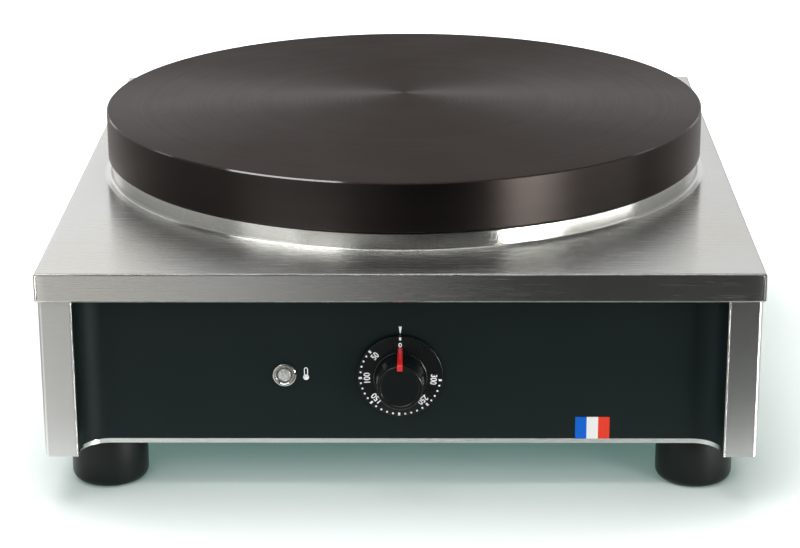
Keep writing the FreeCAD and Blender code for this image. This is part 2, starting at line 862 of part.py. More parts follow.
def recess_strip(half_width, face, radius, thickness, end, z0, z1):
    """A sheet across a recess, with ends that curve forward to the posts."""
    turn_x = half_width - radius
    turn_y = face - radius
    left, right = (-turn_x, turn_y), (turn_x, turn_y)
    back = radius + thickness
    front_face = outline(lambda p: Vector(p[0], p[1], z0), (-half_width, end), [
        (-half_width, turn_y),
        (arc_point(left, radius, 135), (-turn_x, face)),
        (turn_x, face),
        (arc_point(right, radius, 45), (half_width, turn_y)),
        (half_width, end),
        (half_width + thickness, end),
        (half_width + thickness, turn_y),
        (arc_point(right, back, 45), (turn_x, face + thickness)),
        (-turn_x, face + thickness),
        (arc_point(left, back, 135), (-half_width - thickness, turn_y)),
        (-half_width - thickness, end),
    ])
    return front_face.extrude(Vector(0, 0, z1 - z0))


def fascia_holes(y):
    """The holes for the thermostat's bushing, its two screws and the pilot lamp."""
    long = 4 * sheet
    holes = [rod(bushing_diameter / 2 + seat_gap, 0, y, knob_z, long, (0, 1, 0))]
    for side in (-1, 1):
        x = side * thermostat_screw_pitch / 2
        holes.append(rod(thermostat_screw_diameter / 2 + seat_gap, x, y, knob_z, long, (0, 1, 0)))
    holes.append(rod(lamp_barrel_diameter / 2 + seat_gap / 2, -lamp_offset, y, knob_z, long, (0, 1, 0)))
    return holes


def make_front_panel():
    """The stainless front, set back between the posts."""
    half = film_half_width + film_thickness
    face = fascia_y + film_thickness
    strip = recess_strip(half, face, recess_radius + film_thickness, sheet, -post_y, base_z, panel_top)
    back = front_panel_back
    top_half = post_inner_x - top_flange_end / 2
    low_half = post_inner_x - bottom_flange_end + bolt_edge_distance
    middle, end = back - sheet / 2, back + inner_flange
    top_flange = box(-top_half, top_half, middle, end, panel_top - sheet, panel_top)
    low_flange = box(-low_half, low_half, middle, end, base_z, base_z + sheet)
    panel = fused([strip, top_flange, low_flange])
    holes = fascia_holes(fascia_y - sheet)
    for side in (-1, 1):
        holes.append(rod(weld_stud_diameter / 2 + seat_gap, side * weld_stud_x, -weld_stud_y(),
                         panel_top - sheet, sheet, (0, 0, 1)))
        screw_y = back + inner_flange / 2
        holes.append(rod(panel_screw_hole(), side * tray_screw_x(), screw_y, base_z, sheet, (0, 0, 1)))
    return holed(panel, holes)


def tray_screw_x():
    """Where the screws through the front and rear bottom flanges stand."""
    return post_inner_x - bottom_flange_end - bolt_edge_distance


def make_fascia_film():
    """The black film that covers the front panel down to a bare lip."""
    film = recess_strip(film_half_width, fascia_y, recess_radius, film_thickness,
                        -post_y + film_end_gap, base_z + bare_lip, panel_top - seat_gap)
    return holed(film, fascia_holes(fascia_y - sheet))


def make_rear_panel():
    """The stainless back, with vent slots and the hole for the cable gland."""
    half = film_half_width + film_thickness
    strip = recess_strip(half, -rear_face_y, rear_bend, sheet, -post_y + seat_gap, base_z, panel_top)
    strip = strip.mirror(Vector(0, 0, 0), Vector(0, 1, 0))
    top_half = post_inner_x - top_flange_end / 2
    low_half = post_inner_x - bottom_flange_end + bolt_edge_distance
    front = rear_panel_front
    reach = front - inner_flange - (rear_panel_front + front_panel_back) / 2
    top_flange = box(-top_half, top_half, reach, front + sheet / 2, panel_top - sheet, panel_top)
    low_flange = box(-low_half, low_half, reach, front + sheet / 2, base_z, base_z + sheet)
    panel = fused([strip, top_flange, low_flange])
    holes = [rod(gland_thread_diameter / 2 + seat_gap, gland_x, front, gland_z, sheet, (0, 1, 0))]
    for index in range(rear_vent_count):
        x = rear_vent_x + index * vent_slot_pitch
        z = knob_z
        holes.append(box(x, x + vent_slot_width, front, front + sheet, z, z + vent_slot_height))
    for side in (-1, 1):
        holes.append(rod(weld_stud_diameter / 2 + seat_gap, side * weld_stud_x, weld_stud_y(),
                         panel_top - sheet, sheet, (0, 0, 1)))
        holes.append(rod(panel_screw_hole(), side * tray_screw_x(), -front_panel_back - inner_flange / 2,
                         base_z, sheet, (0, 0, 1)))
        for z in rear_screw_heights():
            low, high = sorted((side * half, side * (half + sheet)))
            holes.append(rod(panel_screw_hole(), low, rear_screw_y(), z, high - low, (1, 0, 0)))
    return holed(panel, holes)


def rear_screw_heights():
    """The heights of the screws that hold the rear panel."""
    return (base_z + rear_screw_low, panel_top - rear_screw_high)


def rear_screw_y():
    """The depth of the rear panel's screws, in the middle of the post's return."""
    return post_y - post_return / 2


def panel_screw(x, y, z, direction):
    """One of the screws that hold the panels."""
    return pan_head_screw(x, y, z, direction, panel_screw_diameter, panel_screw_head,
                          panel_screw_head_height, panel_screw_length)


def make_rear_panel_screws():
    """Two screws on each side, outwards through the panel's flange and the post's return."""
    screws = []
    half = film_half_width + film_thickness
    for side in (-1, 1):
        for z in rear_screw_heights():
            screws.append(panel_screw(side * half, rear_screw_y(), z, (side, 0, 0)))
    return screws


def make_base_tray():
    """The flat bottom sheet with its vent slots, resting on all the bottom flanges."""
    half = side_x - side_bend - seat_gap
    y0 = front_panel_back + seat_gap
    y1 = rear_panel_front - seat_gap
    tray = box(-half, half, y0, y1, tray_z, tray_top)
    holes = []
    for x_side, y_side in corners:
        foot_hole = foot_screw_diameter / 2 + seat_gap
        bolt_hole = bridge_bolt_diameter / 2 + seat_gap
        holes.append(rod(foot_hole, x_side * bolt_x, y_side * foot_y, tray_z, sheet, (0, 0, 1)))
        holes.append(rod(bolt_hole, x_side * bolt_x, y_side * bridge_y, tray_z, sheet, (0, 0, 1)))
        y = y_side * (-front_panel_back - inner_flange / 2)
        holes.append(rod(panel_screw_hole(), x_side * tray_screw_x(), y, tray_z, sheet, (0, 0, 1)))
    for index in range(tray_vent_count):
        y = (index - (tray_vent_count - 1) / 2) * tray_vent_pitch
        for side in (-1, 1):
            middle = side * tray_vent_length
            holes.append(box(middle - tray_vent_length / 2, middle + tray_vent_length / 2,
                             y - vent_slot_width / 2, y + vent_slot_width / 2, tray_z, tray_top))
    return holed(tray, holes)


def make_tray_screws():
    """Four screws up through the front and rear bottom flanges into the tray."""
    screws = []
    for x_side, y_side in corners:
        y = y_side * (-front_panel_back - inner_flange / 2)
        screws.append(panel_screw(x_side * tray_screw_x(), y, base_z, (0, 0, 1)))
    return screws


# Feet

def make_foot(x_side, y_side):
    """A round rubber foot with a rounded lower edge and a well for its screw."""
    radius = foot_diameter / 2
    curve = (radius - foot_round, foot_round)
    well = foot_well_diameter / 2
    hole = foot_screw_diameter / 2 + seat_gap
    return turned_upright(x_side * bolt_x, y_side * foot_y, (hole, foot_height), [
        (radius - foot_top_edge, foot_height),
        (radius, foot_height - foot_top_edge),
        (radius, foot_round),
        (arc_point(curve, foot_round, -45), (curve[0], 0)),
        (well, 0),
        (well, foot_well_depth),
        (hole, foot_well_depth),
    ])


def make_foot_screws():
    """A screw up through each foot, the side panel and the tray."""
    screws = []
    nut_height = foot_screw_diameter * nut_height_ratio
    length = foot_height - foot_well_depth + 2 * sheet + nut_height + foot_screw_tip
    for x_side, y_side in corners:
        screws.append(pan_head_screw(x_side * bolt_x, y_side * foot_y, foot_well_depth, (0, 0, 1),
                                     foot_screw_diameter, foot_screw_head, foot_screw_head_height, length))
    return screws


def make_foot_nuts():
    """A nut on the tray at each foot."""
    return [make_nut(foot_screw_diameter, x_side * bolt_x, y_side * foot_y, tray_top, (0, 0, 1))
            for x_side, y_side in corners]


# Thermostat and knob

def make_thermostat_body():
    """The thermostat's case, its bushing and its tabs, with the bore that the shaft runs in."""
    half, tall = thermostat_width / 2, thermostat_tall / 2
    front = front_panel_back
    case = box(-half, half, front, front + thermostat_deep, knob_z - tall, knob_z + tall)
    upright = edges_where(case, lambda p: near(abs(p.x), half))
    case = case.makeFillet(thermostat_edge, [edge for edge in upright if is_along_y(edge)])
    bush_front = fascia_y - bushing_reach
    bushing = rod(bushing_diameter / 2, 0, bush_front, knob_z, front - bush_front + 1, (0, 1, 0))
    body = fused([case, bushing])
    bore_length = front - bush_front + shaft_engagement
    holes = [rod(shaft_diameter / 2 + running_gap, 0, bush_front, knob_z, bore_length, (0, 1, 0))]
    for side in (-1, 1):
        x = side * thermostat_screw_pitch / 2
        radius = thermostat_screw_diameter / 2 + running_gap
        holes.append(rod(radius, x, front, knob_z, thermostat_screw_depth + 1, (0, 1, 0)))
    return holed(body, holes)


def make_thermostat_shaft():
    """The round shaft with a flat at its knob end."""
    inner = front_panel_back + shaft_engagement - shaft_end_gap
    outer = knob_front + knob_wall + shaft_end_gap
    shaft = rod(shaft_diameter / 2, 0, outer, knob_z, inner - outer, (0, 1, 0))
    flat_z = knob_z + shaft_diameter / 2 - shaft_flat
    half = shaft_diameter / 2
    return shaft.cut(box(-half, half, outer, outer + shaft_flat_length, flat_z, flat_z + half))


def make_thermostat_screws():
    """Two screws behind the dial that hold the thermostat to the panel."""
    screws = []
    for side in (-1, 1):
        x = side * thermostat_screw_pitch / 2
        length = front_panel_back - fascia_y + thermostat_screw_depth
        screws.append(pan_head_screw(x, fascia_y, knob_z, (0, 1, 0), thermostat_screw_diameter,
                                     thermostat_screw_head, thermostat_screw_head_height, length))
    return screws


def make_temperature_dial():
    """The flanged disc behind the grip, hollow at the back."""
    radius = dial_diameter / 2
    hole = shaft_diameter / 2 + running_gap
    back = dial_front + dial_wall
    return turned_level(0, knob_z, (hole, dial_front), [
        (radius - dial_bevel, dial_front),
        (radius, dial_front + dial_bevel),
        (radius, fascia_y - dial_rim_gap),
        (radius - dial_wall, fascia_y - dial_rim_gap),
        (radius - dial_wall, back),
        (hole, back),
    ])


def make_knob_pointer():
    """The raised bar along the top of the grip."""
    base, front = knob_base_diameter / 2, knob_front_diameter / 2
    face_back = knob_front + knob_wall * 0.6
    start = (dial_front, base - pointer_depth)
    face = outline(lambda p: Vector(-pointer_width / 2, p[0], knob_z + p[1]), start, [
        (dial_front, base + pointer_toe),
        (knob_front + pointer_chamfer, front + pointer_proud),
        (knob_front, front + pointer_proud - pointer_chamfer),
        (knob_front, front - pointer_face_length),
        (face_back, front - pointer_face_length),
        (face_back, front - pointer_depth + 0.1),
    ])
    return face.extrude(Vector(pointer_width, 0, 0))


def make_knob_grip():
    """The tapered grip: a thin wall, a closed front and a hub for the shaft."""
    base, front = knob_base_diameter / 2, knob_front_diameter / 2
    curve = (front - knob_edge_round, knob_front + knob_edge_round)
    shell = turned_level(0, knob_z, (0, knob_front), [
        (front - knob_edge_round, knob_front),
        (arc_point(curve, knob_edge_round, -45), (front, knob_front + knob_edge_round)),
        (base, dial_front),
        (base - knob_wall, dial_front),
        (front - knob_wall, knob_front + knob_wall),
        (0, knob_front + knob_wall),
    ])
    hub_start = knob_front + knob_wall / 2
    hub = rod(knob_hub_diameter / 2, 0, hub_start, knob_z, dial_front - hub_start, (0, 1, 0))
    grip = fused([shell, hub])
    bore_start = knob_front + knob_wall
    bore = rod(shaft_diameter / 2 + running_gap, 0, bore_start, knob_z, dial_front - bore_start, (0, 1, 0))
    return holed(grip, [bore, make_knob_pointer()])


def make_knob_clip():
    """The spring ring that squeezes the hub onto the shaft, open at one side."""
    inner = knob_hub_diameter / 2 + running_gap
    outer = inner + knob_clip_wall
    start = dial_front - knob_clip_length - knob_clip_inset
    half_mouth = knob_clip_mouth / 2
    ring = tube(outer, inner, 0, start, knob_z, knob_clip_length, (0, 1, 0))
    gap = box(-half_mouth, half_mouth, start, start + knob_clip_length, knob_z - outer - 1, knob_z)
    return ring.cut(gap)


# Pilot lamp

def make_lamp_bezel():
    """The bright ring in front of the fascia, and its threaded barrel."""
    radius = lamp_bezel_diameter / 2
    front = fascia_y - lamp_bezel_proud
    seat = lamp_lens_diameter / 2 + running_gap
    barrel = lamp_barrel_diameter / 2
    bore = lamp_bulb_diameter / 2 + running_gap
    curve = (radius - lamp_bezel_round, front + lamp_bezel_round)
    floor = fascia_y - lamp_seat_depth
    return turned_level(-lamp_offset, knob_z, (seat, front), [
        (curve[0], front),
        (arc_point(curve, lamp_bezel_round, -45), (radius, curve[1])),
        (radius, fascia_y),
        (barrel, fascia_y),
        (barrel, fascia_y + lamp_barrel_length),
        (bore, fascia_y + lamp_barrel_length),
        (bore, floor),
        (seat, floor),
    ])


def make_lamp_lens():
    """A clear domed lens set in the bezel."""
    radius = lamp_lens_diameter / 2
    front = fascia_y - lamp_bezel_proud
    crown = front - lamp_lens_dome + lamp_seat_depth
    chord = radius - lamp_seat_depth
    bulge = (chord * chord + (front - crown) ** 2) / (2 * (front - crown))
    half = math.degrees(math.asin(chord / bulge)) / 2
    middle = (bulge * math.sin(math.radians(half)), crown + bulge - bulge * math.cos(math.radians(half)))
    return turned_level(-lamp_offset, knob_z, (0, crown), [
        (middle, (chord, front)),
        (radius, front + lamp_seat_depth),
        (radius, fascia_y - lamp_seat_depth),
        (0, fascia_y - lamp_seat_depth),
    ])


def make_lamp_body():
    """The neon's holder inside the barrel, with two tabs at the back."""
    start = fascia_y
    holder = rod(lamp_bulb_diameter / 2, -lamp_offset, start, knob_z, lamp_bulb_length, (0, 1, 0))
    tabs = []
    for side in (-1, 1):
        x = -lamp_offset + side * lamp_bulb_diameter / 4
        end = start + lamp_bulb_length
        tabs.append(box(x - tab_thickness / 2, x + tab_thickness / 2, end - 0.5, end + tab_length,
                        knob_z - tab_width / 2, knob_z + tab_width / 2))
    return fused([holder] + tabs)


def make_lamp_nut():
    """The nut that pulls the lamp back against the fascia."""
    y = front_panel_back
    nut = hexagon(lamp_nut_flats, -lamp_offset, y, knob_z, lamp_nut_height, (0, 1, 0))
    bore = rod(lamp_barrel_diameter / 2 + running_gap, -lamp_offset, y, knob_z, lamp_nut_height, (0, 1, 0))
    return nut.cut(bore)


def make_striped_badge():
    """A thin label on the fascia, at the bare lip."""
    x0 = badge_x - badge_width / 2
    z0 = base_z + bare_lip
    return box(x0, x0 + badge_width, fascia_y - badge_thickness, fascia_y, z0, z0 + badge_height)


# Cable gland

def make_gland_body():
    """The gland's body: a thread through the panel, a hexagon and a thread for the cap."""
    hexagon_end = rear_face_y + gland_flange
    inner = rod(gland_thread_diameter / 2, gland_x, rear_face_y - gland_thread_length, gland_z,
                gland_thread_length + 1, (0, 1, 0))
    middle = hexagon(gland_flats, gland_x, rear_face_y, gland_z, gland_flange, (0, 1, 0))
    outer_radius = gland_bore_diameter / 2 + gland_cap_wall
    outer_length = gland_cap_length - gland_cap_wall - 1
    outer = rod(outer_radius, gland_x, hexagon_end - 1, gland_z, outer_length, (0, 1, 0))
    whole = fused([inner, middle, outer])
    start = rear_face_y - gland_thread_length
    whole_length = gland_thread_length + gland_flange + gland_cap_length
    return whole.cut(rod(gland_bore_diameter / 2, gland_x, start, gland_z, whole_length, (0, 1, 0)))


def make_gland_cap():
    """The cap that squeezes the seal, with a rounded nose."""
    start = rear_face_y + gland_flange + seat_gap
    end = start + gland_cap_length
    inner = gland_bore_diameter / 2 + gland_cap_wall + running_gap
    outer = gland_flats / 2
    mouth = gland_seal_bore / 2 + gland_mouth_gap
    curve = (outer - gland_nose, end - gland_nose)
    return turned_level(gland_x, gland_z, (inner, start), [
        (outer, start),
        (outer, curve[1]),
        (arc_point(curve, gland_nose, 45), (curve[0], end)),
        (mouth, end),
        (mouth, end - gland_cap_wall),
        (inner, end - gland_cap_wall),
    ])


def make_gland_seal():
    """The rubber sleeve that grips the supply cord."""
    end = rear_face_y + gland_flange + gland_cap_length - gland_cap_wall - gland_seal_inset
    start = end - gland_seal_length
    outer = gland_bore_diameter / 2 - running_gap
    return tube(outer, gland_seal_bore / 2, gland_x, start, gland_z, gland_seal_length, (0, 1, 0))


def make_gland_locknut():
    """The nut inside the rear panel."""
    y = rear_panel_front - gland_nut_height
    nut = hexagon(gland_nut_flats, gland_x, y, gland_z, gland_nut_height, (0, 1, 0))
    bore = rod(gland_thread_diameter / 2 + running_gap, gland_x, y, gland_z, gland_nut_height, (0, 1, 0))
    return nut.cut(bore)


# Supply connection and wiring

def pole_x(index):
    """The middle of one pole of the terminal block."""
    return block_x + (index - (block_poles - 1) / 2) * block_width / block_poles


def make_terminal_block():
    """The block that the supply cord's wires are screwed into."""
    half_x, half_y = block_width / 2, block_depth / 2
    top = tray_top + block_tall
    block = box(block_x - half_x, block_x + half_x, block_y - half_y, block_y + half_y, tray_top, top)
    holes = []
    for index in range(block_poles):
        x = pole_x(index)
        depth = block_tall / 3
        radius = pole_screw_diameter / 2 + running_gap
        holes.append(rod(radius, x, block_y, top - depth, depth, (0, 0, 1)))
    for index in range(block_poles - 1):
        x = (pole_x(index) + pole_x(index + 1)) / 2
        half = block_slot_width / 2
        holes.append(box(x - half, x + half, block_y - half_y, block_y + half_y, top - block_slot_depth, top))
    return holed(block, holes)


def make_terminal_screws():
    """A slotted screw in each pole."""
    screws = []
    length = block_tall / 3 - 1.0
    top = tray_top + block_tall - pole_screw_sink
    half = pole_screw_slot / 2
    for index in range(block_poles):
        x = pole_x(index)
        screw = rod(pole_screw_diameter / 2, x, block_y, top - length, length, (0, 0, 1))
        reach = pole_screw_diameter
        slot = box(x - reach, x + reach, block_y - half, block_y + half, top - pole_screw_slot, top)
        screws.append(screw.cut(slot))
    return screws


def make_earth_stud():
    """The earthing stud that stands on the tray."""
    return rod(earth_stud_diameter / 2, earth_x, block_y, tray_top, earth_stud_length, (0, 0, 1))


def make_earth_nuts():
    """A nut and a washer on the earthing stud."""
    nut = make_nut(earth_stud_diameter, earth_x, block_y, tray_top, (0, 0, 1))
    washer_z = tray_top + earth_stud_diameter * nut_height_ratio
    bore = earth_stud_diameter / 2 + running_gap
    washer = tube(earth_stud_diameter, bore, earth_x, block_y, washer_z, earth_washer, (0, 0, 1))
    return [nut, washer]


def make_live_wire():
    """From the terminal block forward to the thermostat."""
    start_y = block_y - block_depth / 2
    end_y = front_panel_back + thermostat_deep
    x = pole_x(0)
    low = low_tab_z
    return route([
        (x, start_y, wire_z),
        (x, start_y - 24, wire_z),
        (x - 8, start_y - 70, wire_z + 1),
        (x - 14, 30, wire_z),
        (x - 26, -40, wire_z + 3),
        (60, -100, wire_z + 10),
        (22, end_y + 34, low),
        (15, end_y + 14, low),
        (15, end_y, low),
    ], wire_diameter / 2)


def make_fuse_wire():
    """From the thermostat up between the bridges to the fuse."""
    start_y = front_panel_back + thermostat_deep
    low = low_tab_z
    return route([
        (-15, start_y, low),
        (-15, start_y + 14, low),
        (-22, start_y + 44, low + 3),
        (-34, -80, low + 10),
        (-38, -30, low + 28),
        (-34, -6, fuse_z - 34),
        (-20, 1, fuse_z - 6),
        (6, 0, fuse_z),
        (fuse_x - fuse_length / 2, 0, fuse_z),
    ], wire_diameter / 2)


def make_element_wire():
    """From the fuse under the rear bridge to the inner leg of the element."""
    x, y = element_points()[1]
    pin_z = shield_z - element_leg_reach - element_pin_length
    return route([
        (fuse_x + fuse_length / 2, 0, fuse_z),
        (fuse_x + 26, 0, fuse_z),
        (fuse_x + 36, 12, fuse_z - 18),
        (fuse_x + 14, 34, fuse_z - 36),
        (x + 30, y - 16, pin_z - 26),
        (x, y, pin_z - 22),
        (x, y, pin_z),
    ], wire_diameter / 2)


def make_neutral_wire():
    """From the terminal block up to the outer leg of the element."""
    x, y = element_points()[0]
    start_y = block_y - block_depth / 2
    pin_z = shield_z - element_leg_reach - element_pin_length
    pole = pole_x(1)
    return route([
        (pole, start_y, wire_z),
        (pole, start_y - 20, wire_z),
        (pole - 18, start_y - 42, wire_z + 10),
        (pole - 60, start_y - 40, wire_z + 34),
        (x + 24, y + 4, pin_z - 26),
        (x, y, pin_z - 20),
        (x, y, pin_z),
    ], wire_diameter / 2)


def make_earth_wire():
    """From the terminal block round to the earthing stud's washer."""
    start_y = block_y - block_depth / 2
    top = tray_top + earth_stud_diameter * nut_height_ratio + earth_washer + wire_diameter / 2
    pole = pole_x(block_poles - 1)
    return route([
        (pole, start_y, wire_z),
        (pole, start_y - 16, wire_z),
        (pole - 20, start_y - 30, wire_z - 5),
        (pole - 48, start_y - 31, wire_z - 6),
        (earth_x + 10, start_y - 22, top - 1),
        (earth_x + 1, start_y - 4, top),
        (earth_x, block_y - earth_stud_diameter * 0.6, top),
    ], wire_diameter / 2)


def make_lamp_wires():
    """Two wires from the lamp's tabs to the thermostat."""
    wires = []
    start_y = fascia_y + lamp_bulb_length + tab_length
    end_y = front_panel_back + thermostat_deep
    for side in (-1, 1):
        x = -lamp_offset + side * lamp_bulb_diameter / 4
        lift = side * 3.0
        wires.append(route([
            (x, start_y, knob_z),
            (x, start_y + 12, knob_z),
            (x + 12, start_y + 22, knob_z - lift),
            (-34, end_y + 20, knob_z + 2 - lift),
            (-17, end_y + 13, knob_z + 4 - lift),
            (-17, end_y, knob_z + 4 - lift),
        ], wire_diameter / 2 - 0.3))
    return wires


def make_nodes():
    """Every node's name, with the solid or the group of solids in it."""
    right_side = make_right_side_panel()
    left_side = right_side.mirror(Vector(0, 0, 0), Vector(1, 0, 0))
    nodes = {
        "griddle_plate": make_griddle_plate(),
        "plate_studs": make_plate_studs(),
        "plate_spacers": make_plate_spacers(),
        "plate_nuts": make_plate_nuts(),
        "front_bridge": make_bridge(-1),
        "rear_bridge": make_bridge(1),
        "bridge_bolts": make_bridge_bolts(),
        "base_nuts": make_bridge_nuts() + make_foot_nuts(),
        "heating_element": make_heating_element(),
        "element_pins": make_element_pins(),
        "press_plate": make_press_plate(),
        "insulation_blanket": make_insulation_blanket(),
        "heat_shield": make_heat_shield(),
        "sensing_bulb": make_sensing_bulb(),
        "bulb_clip": make_bulb_clip(),
        "bulb_clip_screws": make_bulb_clip_screws(),
        "capillary_tube": make_capillary(),
        "thermal_fuse": make_thermal_fuse(),
        "fuse_clip": make_fuse_clip(),
        "top_pan": make_top_pan(),
        "plate_collar": make_plate_collar(),
        "pan_nuts": make_pan_nuts(),
        "right_side_panel": right_side,
        "left_side_panel": left_side,
        "front_panel": make_front_panel(),
        "fascia_film": make_fascia_film(),
        "striped_badge": make_striped_badge(),
        "rear_panel": make_rear_panel(),
        "base_tray": make_base_tray(),
        "panel_screws": make_rear_panel_screws() + make_tray_screws(),
        "foot_screws": make_foot_screws(),
        "thermostat_body": make_thermostat_body(),
        "thermostat_shaft": make_thermostat_shaft(),
        "thermostat_screws": make_thermostat_screws(),
        "temperature_dial": make_temperature_dial(),
        "knob_grip": make_knob_grip(),
        "knob_pointer": make_knob_pointer(),
        "knob_clip": make_knob_clip(),
        "lamp_bezel": make_lamp_bezel(),
        "lamp_lens": make_lamp_lens(),
        "lamp_body": make_lamp_body(),
        "lamp_nut": make_lamp_nut(),
        "gland_body": make_gland_body(),
        "gland_cap": make_gland_cap(),
        "gland_seal": make_gland_seal(),
        "gland_locknut": make_gland_locknut(),
        "terminal_block": make_terminal_block(),
        "terminal_screws": make_terminal_screws(),
        "earth_stud": make_earth_stud(),
        "earth_nuts": make_earth_nuts(),
        "live_wire": make_live_wire(),
        "fuse_wire": make_fuse_wire(),
        "element_wire": make_element_wire(),
        "neutral_wire": make_neutral_wire(),
        "earth_wire": make_earth_wire(),
        "lamp_wires": make_lamp_wires(),
    }
    names = ["front_left", "front_right", "rear_left", "rear_right"]
    for (x_side, y_side), name in zip(corners, names):
        nodes["foot_" + name] = make_foot(x_side, y_side)
    return nodes


def main():
    """Write one file for each node."""
    os.makedirs("parts", exist_ok=True)
    for name, shape in make_nodes().items():
        if isinstance(shape, list):
            shape = Part.makeCompound(shape)
        shape.exportStep("parts/" + name + ".step")
        room = shape.BoundBox
        print("%-20s %2d solids  %s" % (name, len(shape.Solids), shape.isValid()))
        print("    x %.1f to %.1f  y %.1f to %.1f  z %.1f to %.1f" % (
            room.XMin, room.XMax, room.YMin, room.YMax, room.ZMin, room.ZMax))


main()
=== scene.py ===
# %% [markdown]
# An electric crepe maker: a turned cast iron griddle on a square stainless body, with a black
# control panel set back between two posts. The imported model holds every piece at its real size.
# This script dresses it: it gives each surface its finish, and it models again, finer, the pieces
# that the eye stays on.

# %% Load the frame
import bmesh
import bpy
import json
import math
from mathutils import Matrix, Vector


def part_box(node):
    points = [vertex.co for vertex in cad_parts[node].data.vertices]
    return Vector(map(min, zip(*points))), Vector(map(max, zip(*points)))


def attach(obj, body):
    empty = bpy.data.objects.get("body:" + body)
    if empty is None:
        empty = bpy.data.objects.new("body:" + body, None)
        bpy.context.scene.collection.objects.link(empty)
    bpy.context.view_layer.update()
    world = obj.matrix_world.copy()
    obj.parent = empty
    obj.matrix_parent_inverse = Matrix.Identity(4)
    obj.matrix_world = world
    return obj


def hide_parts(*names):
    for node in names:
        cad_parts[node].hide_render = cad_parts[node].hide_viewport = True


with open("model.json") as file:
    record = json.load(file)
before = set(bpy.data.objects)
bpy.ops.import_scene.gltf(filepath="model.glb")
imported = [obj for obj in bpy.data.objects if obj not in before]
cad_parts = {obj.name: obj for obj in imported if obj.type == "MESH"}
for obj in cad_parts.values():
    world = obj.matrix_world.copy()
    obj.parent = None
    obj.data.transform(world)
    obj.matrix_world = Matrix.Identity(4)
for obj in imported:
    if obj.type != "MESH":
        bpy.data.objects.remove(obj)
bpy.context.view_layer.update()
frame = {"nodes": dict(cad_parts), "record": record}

# %% [markdown]
# The camera stands where the photographer stood, about 1.4 m in front of the body and 0.6 m up,
# with a long lens. Its place and its three turns were fitted to the plate's ellipse and to the
# straight edges of the body. A camera looks along its own -Z, so it is rolled about that axis,
# stood up by a right angle less the pitch, and then turned.

# %% Camera
camera_place = Vector((0.0212, -1.6127, 0.6085))
camera_pitch = math.radians(18.516)
camera_yaw = math.radians(-0.869)
camera_roll = math.radians(-0.287)
lens_mm = 110.5
camera_data = bpy.data.cameras.new("studio_camera")
camera_data.lens = lens_mm
camera_data.sensor_width = 36.0
camera_data.sensor_fit = "HORIZONTAL"
camera_data.clip_end = 50.0
camera = bpy.data.objects.new("studio_camera", camera_data)
bpy.context.scene.collection.objects.link(camera)
stand_up = Matrix.Rotation(math.radians(90) - camera_pitch, 4, "X")
turn = Matrix.Rotation(-camera_yaw, 4, "Z")
roll = Matrix.Rotation(camera_roll, 4, "Z")
camera.matrix_world = Matrix.Translation(camera_place) @ turn @ stand_up @ roll
bpy.context.scene.camera = camera
print("camera at", tuple(camera_place), "with a lens of", lens_mm, "mm")

# %% [markdown]
# Materials are graphs of nodes. A short helper keeps them readable: it adds one node, gives its
# inputs a number or a link, and hands back one output. The helpers after it name what this object
# needs again and again: a place on the piece or one part of it, noise drawn out into lines, and a
# blend of two colours.

# %% Helpers for materials
def add(tree, kind, inputs=None, output=0, **settings):
    """Adds one shader node and returns one of its outputs."""
    node = tree.nodes.new("ShaderNode" + kind)
    for name, value in settings.items():
        setattr(node, name, value)
    for key, value in (inputs or {}).items():
        if isinstance(value, bpy.types.NodeSocket):
            tree.links.new(value, node.inputs[key])
        else:
            node.inputs[key].default_value = value
    return node.outputs[output]


def math_node(tree, operation, first, second=0.0):
    """Adds a sum, a product or another plain operation on two numbers."""
    return add(tree, "Math", {0: first, 1: second}, operation=operation)


def object_place(tree):
    """The point on the piece, in metres from the object's origin."""
    return add(tree, "TexCoord", output="Object")


def part_of(tree, vector, axis):
    """One of a vector's three numbers, by the name of its axis."""
    return add(tree, "SeparateXYZ", {0: vector}, output=axis)


def stretched_noise(tree, place, scale, detail=3.0):
    """Noise whose size along each axis is one over the scale, in metres."""
    mapped = add(tree, "Mapping", {"Vector": place, "Scale": scale})
    return add(tree, "TexNoise", {"Vector": mapped, "Scale": 1.0, "Detail": detail, "Roughness": 0.6})


def between(tree, amount, low, high):
    """Spreads a noise of 0.25 to 0.75 over a range of numbers."""
    return add(tree, "MapRange", {"Value": amount, "From Min": 0.25, "From Max": 0.75,
                                  "To Min": low, "To Max": high})


def blend_colours(tree, amount, first, second):
    """A colour that goes from the first to the second with the amount."""
    node = tree.nodes.new("ShaderNodeMix")
    node.data_type = "RGBA"
    tree.links.new(amount, node.inputs["Factor"])
    for key, colour in ((6, first), (7, second)):
        if isinstance(colour, bpy.types.NodeSocket):
            tree.links.new(colour, node.inputs[key])
        else:
            node.inputs[key].default_value = (*colour, 1.0)
    return node.outputs[2]


print("helpers for nodes ready")

# %% [markdown]
# A finish is one function that says what each input of the Principled shader gets. A plain number
# is set on the shader's own socket, and only what varies over the surface is linked.

# %% Helpers for finishes
def bump(tree, height, depth, strength=1.0):
    """A bump whose depth is in metres."""
    return add(tree, "Bump", {"Height": height, "Distance": depth, "Strength": strength})


def surface(name, build):
    """A material whose Principled inputs come from a build function."""
    material = bpy.data.materials.new(name)
    material.use_nodes = True
    tree = material.node_tree
    shader = tree.nodes["Principled BSDF"]
    for key, value in build(tree).items():
        if isinstance(value, bpy.types.NodeSocket):
            tree.links.new(value, shader.inputs[key])
        elif isinstance(value, tuple):
            shader.inputs[key].default_value = (*value, 1.0)
        else:
            shader.inputs[key].default_value = value
    return material


print("helpers for finishes ready")

# %% [markdown]
# Brushed stainless steel has fine lines in one direction. The lines spread a reflection across
# them and keep it sharp along them. The anisotropic setting does that along a tangent, so the
# tangent is worked out square to the lines, with a small nudge so that it never vanishes. On a spun
# piece the lines run round the upright axis, and noise follows them if it is read by the distance
# from the axis and not by the angle.

